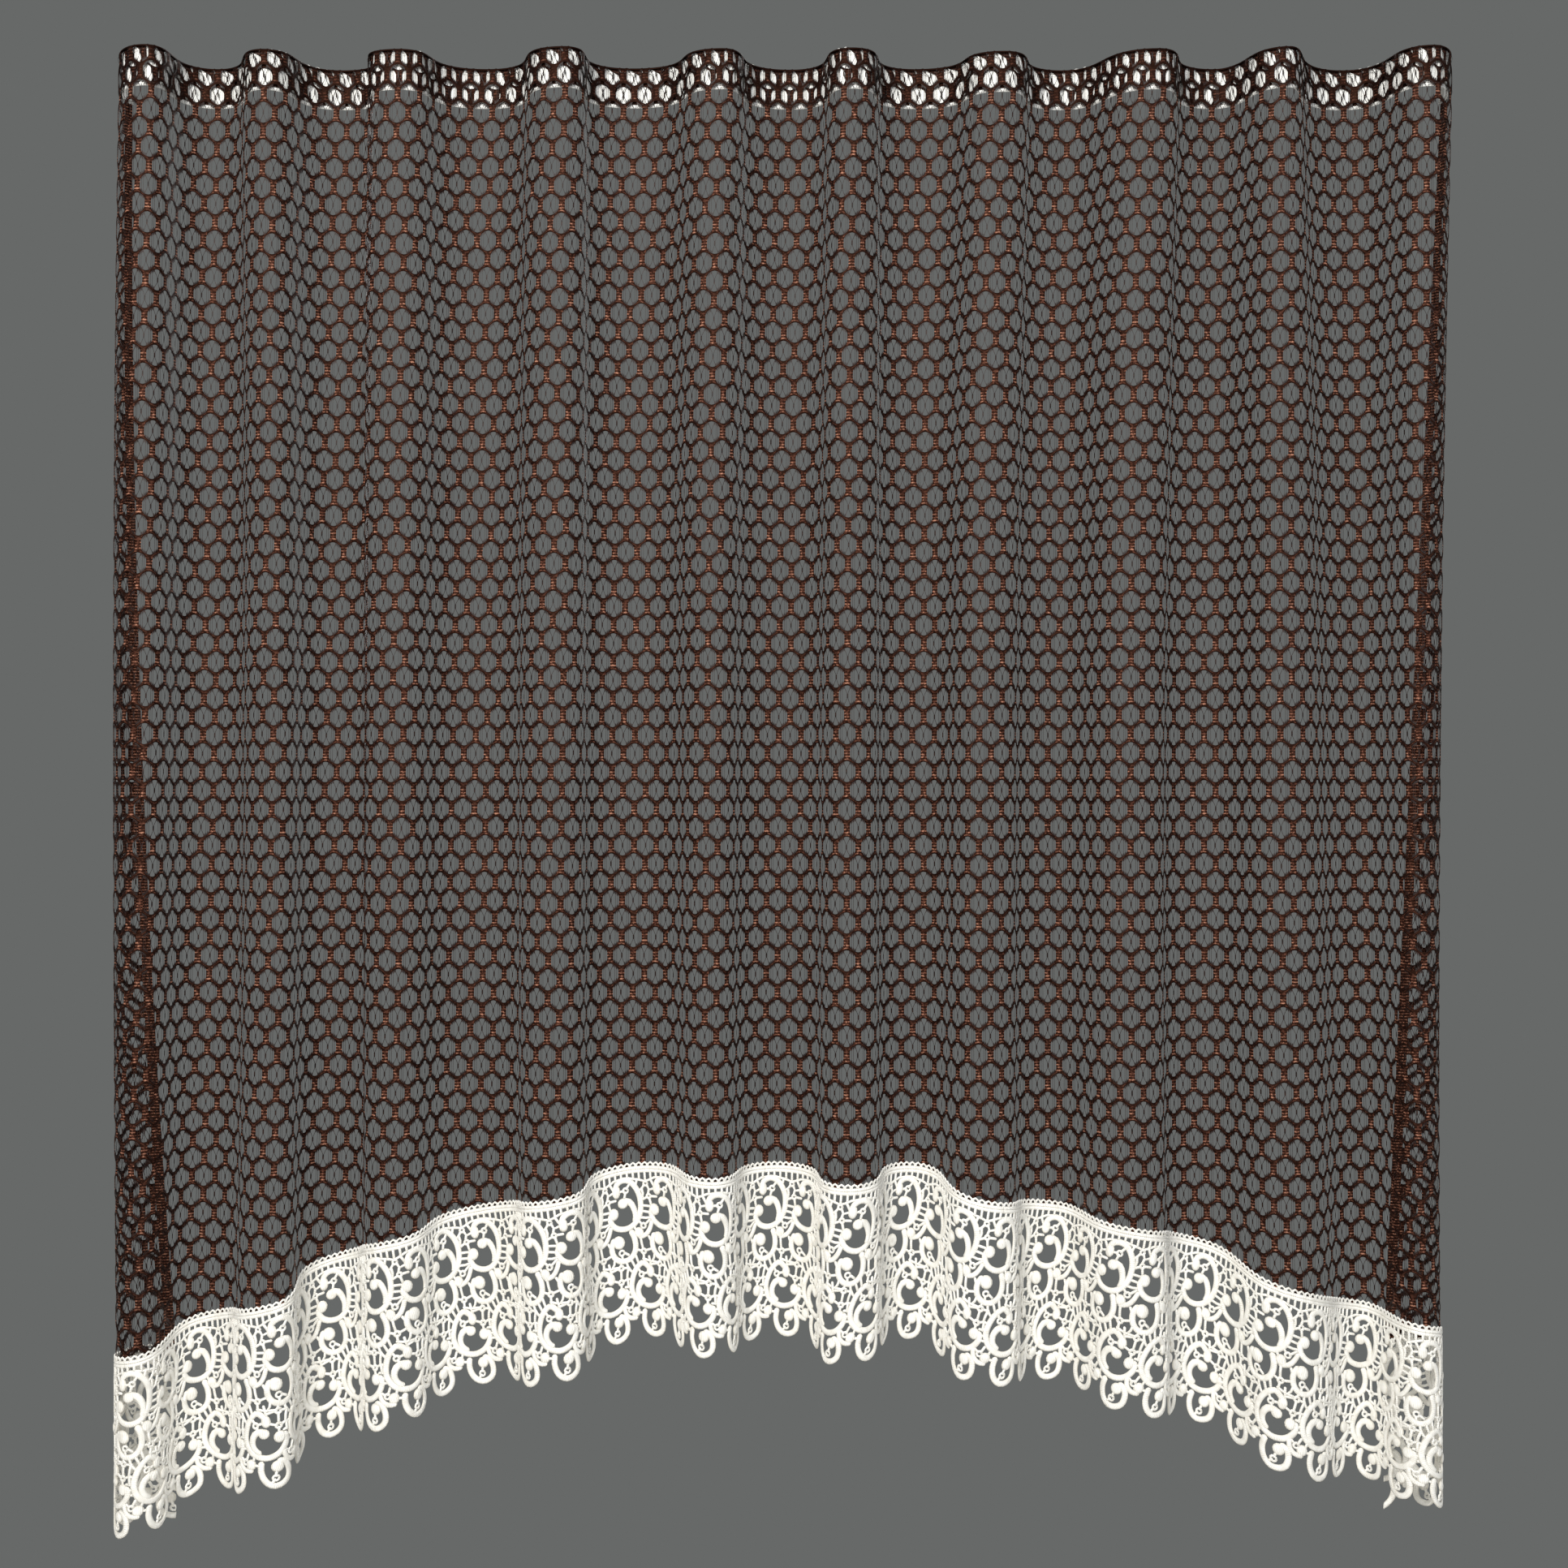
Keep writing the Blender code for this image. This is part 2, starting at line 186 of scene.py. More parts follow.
def gridFaces(base, across, down):
    # Faces of a grid whose points are laid row by row, the first of them numbered base.
    return [
        (k, k + across, k + across + 1, k + 1)
        for row in range(down - 1)
        for k in range(base + row * across, base + (row + 1) * across - 1)
    ]


def usedOnly(faces):
    # The points that the faces use, and the faces renumbered to them.
    used, index = np.unique([v for face in faces for v in face], return_inverse=True)
    index = index.ravel().tolist()
    ends = np.cumsum([0] + [len(face) for face in faces]).tolist()
    return used, [tuple(index[a:b]) for a, b in zip(ends[:-1], ends[1:])]


def meshPiece(name, points, faces, material, uv, masks=None):
    # Points are hung places in millimetres. uv holds flat millimetres, one pair a point.
    mesh = bpy.data.meshes.new(name)
    mesh.from_pydata((points * mm).tolist(), [], faces)
    corners = np.empty(len(mesh.loops), int)
    mesh.loops.foreach_get("vertex_index", corners)
    layer = mesh.uv_layers.new(name="flatMillimetres")
    layer.data.foreach_set("uv", np.asarray(uv, np.float32)[corners].ravel())
    for maskName, values in (masks or {}).items():
        mask = mesh.attributes.new(maskName, "FLOAT", "POINT")
        mask.data.foreach_set("value", np.asarray(values, np.float32))
    mesh.materials.append(material)
    mesh.shade_smooth()
    piece = bpy.data.objects.new(name, mesh)
    bpy.context.scene.collection.objects.link(piece)
    print(name, "has", sum(len(face) - 2 for face in faces), "triangles")
    return piece


def linear(hexColour):
    # An sRGB hex colour as linear light.
    parts = [int(hexColour[k:k + 2], 16) / 255 for k in (1, 3, 5)]
    lit = [p / 12.92 if p <= 0.04045 else ((p + 0.055) / 1.055) ** 2.4 for p in parts]
    return (*lit, 1.0)


def bandScale(pitch):
    # A wave texture of scale 1 has a band each 2 pi / 20, so this sets them a pitch in mm apart.
    return fullTurn / (20 * pitch)


def newMaterial(name):
    made = bpy.data.materials.new(name)
    made.use_nodes = True
    return made, made.node_tree.nodes["Principled BSDF"]


def setNode(owner, made, settings=None, links=None):
    # Settings are properties or input values, and links are input: output socket.
    for key, value in (settings or {}).items():
        if isinstance(key, str) and hasattr(made, key):
            setattr(made, key, value)
        else:
            made.inputs[key].default_value = value
    for key, output in (links or {}).items():
        owner.node_tree.links.new(output, made.inputs[key])
    return made


def node(material, kind, settings=None, links=None):
    # Adds one node with its settings and links.
    return setNode(material, material.node_tree.nodes.new(kind), settings, links)


netYarnLook = {
    "ridge": "#4e3026",  # the raised loops catch the light as reddish brown
    "shade": "#070202",  # the edges of each bar
    "tint": "#ac7c66",  # pale flecks of the textured yarn, which the painted light puts on the raised loops
    "shadeUpTo": 0.15,  # heights of the shade, the ridge and the tint, from a bar's edge to its top
    "ridgeAt": 0.45,
    "tintFrom": 0.9,
    "rungPitch": 3.4,  # mm from one course of loops to the next
    "rungWander": 0.6,
    "roundness": 0.55,  # what the bar's own roundness adds to the height of its rungs, and so to its painted light
    "loopScale": 0.9,  # single loops about 1 mm wide
    "patchScale": 0.3,  # patches of tighter and looser loops about 3 mm wide
    "patchFrom": 0.45,  # the height of the loops in the tightest and in the loosest patches
    "patchTo": 1.35,
    "bump": 0.6,
    "bumpDepth": 0.0005,
    "ior": 1.54,  # polyester
    "roughness": 0.66,
    "gloss": 0.2,  # smooth filament: the bars that face the light shine
    "glossTint": "#ffb292",  # the shine has bounced between brown loops, so it is copper
    "sheen": 0.03,
    "sheenRoughness": 0.4,
}


def knittedNetYarn():
    # Warp-knitted textured polyester yarn: soft ladder rungs, with a coppery gleam where a fold
    # faces the light.
    look = netYarnLook
    material, shader = newMaterial("Knitted polyester net, chocolate brown")
    flat = node(material, "ShaderNodeUVMap", {"uv_map": "flatMillimetres"})
    ridge = node(material, "ShaderNodeAttribute", {"attribute_name": "ridge"})
    ladder = node(material, "ShaderNodeAttribute", {"attribute_name": "ladder"})
    rungs = node(
        material, "ShaderNodeTexWave",
        {"wave_type": "BANDS", "bands_direction": "Y", "wave_profile": "SIN",
         "Scale": bandScale(look["rungPitch"]), "Distortion": look["rungWander"], "Detail": 1.0},
        {"Vector": flat.outputs["UV"]},
    )
    loops = node(
        material, "ShaderNodeTexNoise",
        {"Scale": look["loopScale"], "Detail": 3.0, "Roughness": 0.6},
        {"Vector": flat.outputs["UV"]},
    )
    patches = node(
        material, "ShaderNodeTexNoise", {"Scale": look["patchScale"], "Detail": 1.0},
        {"Vector": flat.outputs["UV"]},
    )
    # The noise lies between about 0.35 and 0.65
    uneven = node(
        material, "ShaderNodeMapRange",
        {1: 0.35, 2: 0.65, 3: look["patchFrom"], 4: look["patchTo"]},
        {"Value": patches.outputs["Fac"]},
    )
    rungShare = node(
        material, "ShaderNodeMath", {"operation": "MULTIPLY"},
        {0: rungs.outputs["Fac"], 1: ladder.outputs["Fac"]},
    )
    raised = node(
        material, "ShaderNodeMath", {"operation": "MULTIPLY_ADD", 1: look["roundness"]},
        {0: ridge.outputs["Fac"], 2: rungShare.outputs[0]},
    )
    looped = node(
        material, "ShaderNodeMath", {"operation": "MULTIPLY"},
        {0: raised.outputs[0], 1: loops.outputs["Fac"]},
    )
    paintedLightOnLoops = node(
        material, "ShaderNodeMath", {"operation": "MULTIPLY", "use_clamp": True},
        {0: looped.outputs[0], 1: uneven.outputs[0]},
    )
    # Painted light and shade: a bar's low edges take the dark shade, its raised middle the lit
    # ridge brown and the pale tint
    colour = node(material, "ShaderNodeValToRGB", {}, {"Fac": paintedLightOnLoops.outputs[0]})
    low, high = colour.color_ramp.elements
    low.position, low.color = look["shadeUpTo"], linear(look["shade"])
    high.position, high.color = look["tintFrom"], linear(look["tint"])
    colour.color_ramp.elements.new(look["ridgeAt"]).color = linear(look["ridge"])
    bump = node(
        material, "ShaderNodeBump", {"Strength": look["bump"], "Distance": look["bumpDepth"]},
        {"Height": paintedLightOnLoops.outputs[0]},
    )
    setNode(
        material, shader,
        {"Roughness": look["roughness"], "IOR": look["ior"], "Specular IOR Level": look["gloss"],
         "Specular Tint": linear(look["glossTint"]), "Sheen Weight": look["sheen"],
         "Sheen Roughness": look["sheenRoughness"], "Sheen Tint": linear(look["tint"])},
        {"Base Color": colour.outputs["Color"], "Normal": bump.outputs["Normal"]},
    )
    return material


filamentLook = {
    "dark": "#0e0605",
    "pale": "#2e1a14",
    "darkUpTo": 0.35,
    "paleFrom": 0.75,
    "twistScale": 0.35,  # paler stretches about 3 mm long
    "bump": 0.4,
    "bumpDepth": 0.0003,
    "ior": 1.54,
    "roughness": 0.55,
    "gloss": 0.2,
}


def fineNetThread():
    # Single filament yarn across the holes: dark, with short paler stretches where it twists.
    look = filamentLook
    material, shader = newMaterial("Fine polyester filament, dark brown")
    flat = node(material, "ShaderNodeUVMap", {"uv_map": "flatMillimetres"})
    twist = node(
        material, "ShaderNodeTexNoise", {"Scale": look["twistScale"], "Detail": 2.0},
        {"Vector": flat.outputs["UV"]},
    )
    colour = node(material, "ShaderNodeValToRGB", {}, {"Fac": twist.outputs["Fac"]})
    low, high = colour.color_ramp.elements
    low.position, low.color = look["darkUpTo"], linear(look["dark"])
    high.position, high.color = look["paleFrom"], linear(look["pale"])
    bump = node(
        material, "ShaderNodeBump", {"Strength": look["bump"], "Distance": look["bumpDepth"]},
        {"Height": twist.outputs["Fac"]},
    )
    setNode(
        material, shader,
        {"Roughness": look["roughness"], "IOR": look["ior"], "Specular IOR Level": look["gloss"]},
        {"Base Color": colour.outputs["Color"], "Normal": bump.outputs["Normal"]},
    )
    return material


tapeLook = {
    "light": "#fdfdfb",
    "shade": "#e2e2de",
    "threadPitch": 1.6,  # mm, twice the real pitch
    "threadWander": 0.3,
    "bump": 0.6,
    "bumpDepth": 0.0004,
    "ior": 1.54,
    "roughness": 0.8,
    "sheen": 0.2,
}


def wovenTapeCloth():
    # Plain woven polyester: crossing threads 0.8 mm apart, drawn twice as coarse so that they show.
    look = tapeLook
    material, shader = newMaterial("Woven polyester tape, white")
    flat = node(material, "ShaderNodeUVMap", {"uv_map": "flatMillimetres"})
    warp, weft = (
        node(
            material, "ShaderNodeTexWave",
            {"bands_direction": direction, "Scale": bandScale(look["threadPitch"]),
             "Distortion": look["threadWander"]},
            {"Vector": flat.outputs["UV"]},
        )
        for direction in ("X", "Y")
    )
    weave = node(
        material, "ShaderNodeMath", {"operation": "MULTIPLY"},
        {0: warp.outputs["Fac"], 1: weft.outputs["Fac"]},
    )
    colour = node(
        material, "ShaderNodeMix",
        {"data_type": "RGBA", 6: linear(look["shade"]), 7: linear(look["light"])},
        {0: weave.outputs[0]},
    )
    bump = node(
        material, "ShaderNodeBump", {"Strength": look["bump"], "Distance": look["bumpDepth"]},
        {"Height": weave.outputs[0]},
    )
    setNode(
        material, shader,
        {"Roughness": look["roughness"], "IOR": look["ior"], "Sheen Weight": look["sheen"]},
        {"Base Color": colour.outputs[2], "Normal": bump.outputs["Normal"]},
    )
    return material


laceLook = {
    "light": "#fbfaf5",
    "shade": "#dedad0",
    "shadeUpTo": 0.45,
    "lightFrom": 0.8,
    "paintedEdgeShade": "#d6d2c7",  # painted shade at the edges of cords and balls, where they meet
    "paintedEdgeShadeUpTo": 0.15,  # heights on a cord, from its edge to its crown, over which the painted shade fades out
    "crownFrom": 0.85,
    "stitchPitch": 1.5,
    "stitchWander": 0.5,
    "stitchShare": 0.45,  # how much the stitches count beside the wear
    "wearScale": 0.12,  # softer and whiter parts about 8 mm wide
    "bump": 0.6,
    "bumpDepth": 0.0005,
    "ior": 1.5,
    "roughness": 0.7,
    "sheen": 0.1,
    "glow": 0.08,  # a little light passes into the thread
    "glowDepth": 0.002,
}


def stitchedLaceThread():
    # Guipure: close satin stitch over a cord. Stitches 0.4 mm apart are drawn at 1.5 mm to show.
    look = laceLook
    material, shader = newMaterial("Satin-stitched guipure thread, white")
    flat = node(material, "ShaderNodeUVMap", {"uv_map": "flatMillimetres"})
    stitched = node(
        material, "ShaderNodeTexWave",
        {"bands_direction": "X", "Scale": bandScale(look["stitchPitch"]),
         "Distortion": look["stitchWander"], "Detail": 1.0},
        {"Vector": flat.outputs["UV"]},
    )
    wear = node(
        material, "ShaderNodeTexNoise", {"Scale": look["wearScale"], "Detail": 2.0},
        {"Vector": flat.outputs["UV"]},
    )
    mixed = node(
        material, "ShaderNodeMath", {"operation": "MULTIPLY_ADD", 1: look["stitchShare"]},
        {0: stitched.outputs["Fac"], 2: wear.outputs["Fac"]},
    )
    colour = node(material, "ShaderNodeValToRGB", {}, {"Fac": mixed.outputs[0]})
    low, high = colour.color_ramp.elements
    low.position, low.color = look["shadeUpTo"], linear(look["shade"])
    high.position, high.color = look["lightFrom"], linear(look["light"])
    bump = node(
        material, "ShaderNodeBump", {"Strength": look["bump"], "Distance": look["bumpDepth"]},
        {"Height": stitched.outputs["Fac"]},
    )
    # Painted shade: each cord and ball darkens towards its edges
    crown = node(material, "ShaderNodeAttribute", {"attribute_name": "crown"})
    raised = node(
        material, "ShaderNodeMapRange",
        {"interpolation_type": "SMOOTHSTEP", 1: look["paintedEdgeShadeUpTo"], 2: look["crownFrom"]},
        {"Value": crown.outputs["Fac"]},
    )
    depth = node(
        material, "ShaderNodeMix", {"data_type": "RGBA", 6: linear(look["paintedEdgeShade"])},
        {0: raised.outputs[0], 7: colour.outputs["Color"]},
    )
    setNode(
        material, shader,
        {"Roughness": look["roughness"], "IOR": look["ior"], "Sheen Weight": look["sheen"],
         "Subsurface Weight": look["glow"], "Subsurface Radius": (look["glowDepth"],) * 3},
        {"Base Color": depth.outputs[2], "Normal": bump.outputs["Normal"]},
    )
    return material


net = {
    "cells": 89,  # across the flat cloth
    "rowPitch": 21.1,
    "firstRow": 9.0,  # mm from the top fold to the middle of the first row of holes
    "spareRows": 30.0,  # rows are laid this far below the deepest seam, then cut to the hem
    "corner": 6.23,  # half the upright side of a cell
    "tip": 14.87,  # half the height of a cell
    "hole": ((9.9, 4.1), (8.0, 8.1), (4.1, 10.9), (0.0, 11.7)),  # a quarter of a hole's edge
    "ridgeRise": 0.7,
    "foldRadius": 1.2,
    "turnDepth": 41.0,  # of the heading's turned layer
    "hemBelowSeam": 11.0,
    "hemSlack": 6.0,  # on a slope, a cell that starts this little below the hem still reaches it
    "cornersPerMm": 20,  # corners in the same twentieth of a mm are one point
    "smallestFace": 0.02,  # square mm that the cut leaves at least
    "selvedge": 11.0,  # width of the dense strip along each side
    "selvedgeStep": 7.0,
    "selvedgeRise": -0.25,
    "selvedgeRidge": 0.3,
    "edgeReach": 2.6,  # how far the close loops of the top fold reach down
    "edgeRows": 7,
    "edgeStep": 4.0,
    "edgeRise": 0.1,
    "edgeRidge": 0.1,
    "headingShade": 0.45,  # how much painted shade darkens the loops of the heading
    "headingShadeOver": 4.0,  # mm until it does in full
    "slipFrom": 2.0,  # the turned layer slips sideways from this far behind the top fold
    "slipOver": 8.0,
    "slipSideEase": 60.0,  # at the sides the two layers are sewn together
    "slipShare": 0.25,  # of a cell
    "slipWave": 618.0,
    "slipWaveStart": 280.0,
    "slipRipple": 1.8,
    "slipRipplePitch": 151.0,
    "slipRippleStart": 2.0,  # radians
}
cellWidth = flatWidth / net["cells"]
quarterFold = net["foldRadius"] * math.pi / 2
turnEnd = -(net["turnDepth"] - net["foldRadius"] + quarterFold)


def slipped(across, v):
    # The turned layer lies unevenly, so its holes slip in and out of step with the front ones.
    share, start = net["slipShare"], net["slipWaveStart"]
    fromSide = np.minimum(across, flatWidth - across)
    slip = np.clip((-v - net["slipFrom"]) / net["slipOver"], 0, 1)
    slip = slip * np.clip(fromSide / net["slipSideEase"], 0, 1)
    wave = share + share * np.cos(fullTurn * (across - start) / net["slipWave"])
    ripple = np.sin(fullTurn * across / net["slipRipplePitch"] + net["slipRippleStart"])
    return across + slip * (cellWidth * wave + net["slipRipple"] * ripple)


def overFold(across, v, rise):
    # v runs down the front from the top of the fold, and is negative down the turned back.
    r = net["foldRadius"]
    angle = np.clip(v / r, -math.pi / 2, math.pi / 2)
    straight = np.maximum(np.abs(v) - quarterFold, 0)
    down = r - (r + rise) * np.cos(angle) + straight
    offset = -r + (r + rise) * np.sin(angle)
    return draped(slipped(across, v), down, offset)


def netCells():
    # Centres of all cells: rows half a cell out of step, from the turned edge down to the arch.
    centres = []
    firstRow = math.floor((turnEnd - net["firstRow"] - net["tip"]) / net["rowPitch"])
    lastRow = math.ceil((fold["drop"].max() + net["spareRows"]) / net["rowPitch"])
    for row in range(firstRow, lastRow + 1):
        v = net["firstRow"] + row * net["rowPitch"]
        shift = 0.5 if row % 2 == 0 else 0.0
        for col in range(net["cells"] + (0 if shift else 1)):
            u = (col + shift) * cellWidth
            hem = float(seamDrop(min(max(u, 0), flatWidth))) + net["hemBelowSeam"]
            if v + net["tip"] > turnEnd and v - net["tip"] < hem + net["hemSlack"]:
                centres.append((u, v))
    return np.array(centres)


def holdInside(u, v):
    # Moves what lies past the cut edges onto them.
    lowest = seamDrop(np.clip(u, 0, flatWidth)) + net["hemBelowSeam"]
    return np.clip(u, 0, flatWidth), np.clip(v, turnEnd, lowest)


def ringOf(quarter):
    # A quarter, from the side to the tip, mirrored into a whole ring.
    right = [(x, -y) for x, y in quarter]  # upwards is towards the top edge
    upper = right + [(-x, y) for x, y in right[-2::-1]]
    lower = [(x, -y) for x, y in upper[::-1]]
    return np.array(upper + lower)


def knittedCells(centres):
    # Faces run from each hole's edge to the middle lines of its bars, which neighbours share.
    half, corner, slope = cellWidth / 2, net["corner"], net["tip"] - net["corner"]
    outer = ringOf([
        (half, corner), (half * 2 / 3, corner + slope / 3), (half / 3, corner + slope * 2 / 3),
        (0.0, net["tip"]),
    ])
    hole = ringOf(net["hole"])
    steps = len(outer)
    upright = (np.abs(np.abs(outer[:, 0]) - half) < tiny).astype(float)
    outerAll = (centres[:, None, :] + outer[None]).reshape(-1, 2)
    holeAll = (centres[:, None, :] + hole[None]).reshape(-1, 2)
    keys = np.round(outerAll * net["cornersPerMm"]).astype(int)
    _, first, shared = np.unique(keys, axis=0, return_index=True, return_inverse=True)
    shared = shared.ravel()
    flat = np.concatenate([outerAll[first], holeAll])
    ridge = np.concatenate([np.ones(len(first)), np.zeros(len(holeAll))])
    ladder = np.tile(upright, len(centres))
    ladder = np.concatenate([ladder[first], ladder])
    cell = np.arange(len(centres))[:, None] * steps
    here = cell + np.arange(steps)[None]
    after = cell + (np.arange(steps)[None] + 1) % steps
    quads = [shared[here], shared[after], after + len(first), here + len(first)]
    quads = np.stack(quads, axis=-1).reshape(-1, 4)
    u, v = holdInside(flat[:, 0], flat[:, 1])
    # Faces that were cut away lie wholly on one border line
    corners = np.stack([u, v], axis=-1)[quads]
    x, y = corners[..., 0], corners[..., 1]
    size = 0.5 * np.abs(np.sum(x * np.roll(y, -1, 1) - np.roll(x, -1, 1) * y, axis=1))
    used, faces = usedOnly(quads[size > net["smallestFace"]].tolist())
    u, v, ridge, ladder = u[used], v[used], ridge[used], ladder[used]
    return (overFold(u, v, ridge * net["ridgeRise"]), u, v, ridge, ladder), faces


def netPanel(material):
    centres = netCells()
    cells, faces = knittedCells(centres)
    parts = [cells]
    base = len(cells[0])
    # A dense selvedge closes both sides
    rows = np.arange(turnEnd, fold["drop"].max() + net["spareRows"], net["selvedgeStep"])
    for inner, outer in ((net["selvedge"], 0.0), (flatWidth, flatWidth - net["selvedge"])):
        low = float(seamDrop(outer)) + net["hemBelowSeam"]
        side = np.append(rows[rows < low], low)
        n = len(side)
        u, v = np.repeat([inner, outer], n), np.tile(side, 2)
        ridge, ladder = np.full(2 * n, net["selvedgeRidge"]), np.ones(2 * n)
        parts.append((overFold(u, v, net["selvedgeRise"]), u, v, ridge, ladder))
        faces += [(base + k, base + k + 1, base + n + k + 1, base + n + k) for k in range(n - 1)]
        base += 2 * n
    # A row of close loops stiffens the top fold
    across = np.arange(0, flatWidth + 1, net["edgeStep"])
    around = np.linspace(-net["edgeReach"], net["edgeReach"], net["edgeRows"])
    u, v = (places.ravel() for places in np.meshgrid(across, around))
    ridge, ladder = np.full(u.size, net["edgeRidge"]), np.zeros(u.size)
    parts.append((overFold(u, v, net["edgeRise"]), u, v, ridge, ladder))
    faces += gridFaces(base, len(across), len(around))
    points, u, v, ridge, ladder = (np.concatenate(values) for values in zip(*parts))
    # Painted shade darkens the heading's loops: their masks are lowered, so the yarn there takes
    # the dark shade colour
    headingShade = 1 - net["headingShade"] * np.clip((cloth["tapeBottom"] - v) / net["headingShadeOver"], 0, 1)
    piece = meshPiece(
        "netPanel", points, faces, material, np.stack([u, v], axis=-1),
        {"ridge": ridge * headingShade, "ladder": ladder * headingShade},
    )
    return piece, centres


holeThreads = {
    # The right half of one hole, from its middle: an arm of the X that knots there, and uprights
    "lines": (
        ((3.9, -11.0), (0.35, -2.4), (0.35, 2.4), (3.9, 11.0)),
        ((5.8, -9.9), (5.6, 9.9)),
        ((7.9, -8.2), (7.8, 8.2)),
    ),
    "ends": ((3.9, 10.9), (5.8, 9.7), (7.9, 8.0)),  # where they meet the bars
    "width": 0.6,
    "sideWidth": 0.4,
    "knotWidth": 1.1,
    "knotReach": 4.0,  # the knot stays within this height
    "petalWidth": 1.5,  # half the width of a thread's foot
    "petalDepth": 4.0,
    "petalRoot": 0.7,  # how far the foot lies under the bar
    "petalLean": 0.99,
    "wobble": 0.35,  # mm by which the knots stray sideways
    "seed": 11,
    "hiddenFrom": 2.0,  # mm behind the top fold
    "hiddenOutside": 5.0,  # mm from a hole's middle
}


def holeStamp():
    # One hole's threads: flat points, four-sided threads and three-sided feet.
    sizes = holeThreads
    points, threads, petals = [], [], []
    for line in sizes["lines"]:
        width = sizes["width"] if len(line) > 2 else sizes["sideWidth"]
        for side in (-1, 1):
            for (x0, y0), (x1, y1) in zip(line[:-1], line[1:]):
                knotted = abs(y0) < sizes["knotReach"] and abs(y1) < sizes["knotReach"]
                half = (sizes["knotWidth"] if knotted else width) / 2
                base = len(points)
                points += [(side * x0 - half, y0), (side * x0 + half, y0),
                           (side * x1 + half, y1), (side * x1 - half, y1)]
                threads.append((base, base + 1, base + 2, base + 3))
    # Where a thread meets the bar it spreads, which gives each hole its petals
    for side in (1, -1):
        for x, y in sizes["ends"]:
            for up in (-1, 1):
                base = len(points)
                root = up * (y + sizes["petalRoot"])
                points += [(side * x - sizes["petalWidth"], root),
                           (side * x + sizes["petalWidth"], root),
                           (side * x * sizes["petalLean"], up * (y - sizes["petalDepth"]))]
                petals.append((base, base + 1, base + 2))
    return np.array(points), np.array(threads), np.array(petals)


def netThreads(material, centres):
    stamp, threads, petals = holeStamp()
    random = np.random.default_rng(holeThreads["seed"])
    wobble = random.normal(0, holeThreads["wobble"], (len(centres), 1, 2)) * np.array((1.0, 0.0))
    middle = np.abs(stamp[:, 1]) < holeThreads["knotReach"]
    flat = centres[:, None, :] + stamp[None] + wobble * middle[None, :, None]
    flat = flat.reshape(-1, 2)
    u, v = holdInside(flat[:, 0], flat[:, 1])
    moved = (np.abs(u - flat[:, 0]) + np.abs(v - flat[:, 1])) > tiny
    # The tape hides the turned layer, where only the crossed threads show between the front ones
    outside = np.tile(np.abs(stamp[:, 0]) > holeThreads["hiddenOutside"], len(centres))
    hidden = (v < -holeThreads["hiddenFrom"]) & outside
    faces = []
    for shapes, isCutAway in ((threads, np.all), (petals, np.any)):
        every = np.arange(len(centres))[:, None, None] * len(stamp) + shapes[None]
        every = every.reshape(-1, shapes.shape[1])
        left = isCutAway(moved[every], axis=1) | hidden[every].any(axis=1)
        faces += every[~left].tolist()
    used, faces = usedOnly(faces)
    u, v = u[used], v[used]
    points = overFold(u, v, np.zeros(len(u)))
    return meshPiece("netThreads", points, faces, material, np.stack([u, v], axis=-1))


tape = {
    "top": 2.5,  # mm below the top fold
    "bottom": cloth["tapeBottom"],
    "offset": -3.8,  # behind the net's front layer
    "thickness": 0.9,
    "columnStep": 2.0,
    "rows": 19,
    "pocketPitch": 12.0,
    "pocketRise": 1.3,
    "pocketHalf": 0.25,  # half a pocket's height, as a share of the tape's width
    "ridges": (0.13, 0.87),  # the two woven ridges, as shares of the tape's width
    "ridgeWidth": 0.05,
    "ridgeRise": 0.6,  # share of the pockets' rise
    "peepRise": 4.3,  # mm that the upper edge shows above the net, here and there
    "peepPitch": 263.0,
    "peepDrift": 1.9,  # radians by which the places are uneven
    "peepDriftPitch": 611.0,
    "peepSteep": 3.0,
    "peepRare": 1.9,
    "frill": 0.2,  # share of the rise
    "frillPitch": 11.0,
}


def headingTape(material):
    columns = np.linspace(0, flatWidth, int(flatWidth / tape["columnStep"]) + 1)
    rows = np.linspace(tape["top"], tape["bottom"], tape["rows"])
    u, v = np.meshgrid(columns, rows)
    share = (v - tape["top"]) / (tape["bottom"] - tape["top"])
    pockets = (0.5 + 0.5 * np.sin(fullTurn * u / tape["pocketPitch"])) ** 2
    pockets = pockets * np.exp(-((share - 0.5) / tape["pocketHalf"]) ** 6)
    ridges = sum(np.exp(-((share - at) / tape["ridgeWidth"]) ** 2) for at in tape["ridges"])
    relief = tape["pocketRise"] * (pockets + tape["ridgeRise"] * ridges)
    # The upper edge looks out over the net in a few places, a little frilled
    drift = tape["peepDrift"] * np.sin(fullTurn * columns / tape["peepDriftPitch"])
    peep = np.sin(fullTurn * columns / tape["peepPitch"] + drift)
    peep = np.clip(peep * tape["peepSteep"] - tape["peepRare"], 0, 1)
    frill = tape["frill"] * np.sin(fullTurn * columns / tape["frillPitch"])
    v[0] -= peep * (1 - tape["frill"] + frill) * tape["peepRise"]
    points = draped(u, v, tape["offset"] - relief).reshape(-1, 3)
    faces = gridFaces(0, len(columns), len(rows))
    uv = np.stack([u.ravel(), v.ravel()], axis=-1)
    piece = meshPiece("headingTape", points, faces, material, uv)
    thick = piece.modifiers.new("Thickness", "SOLIDIFY")
    thick.thickness = tape["thickness"] * mm
    thick.offset = 0.0
    return piece


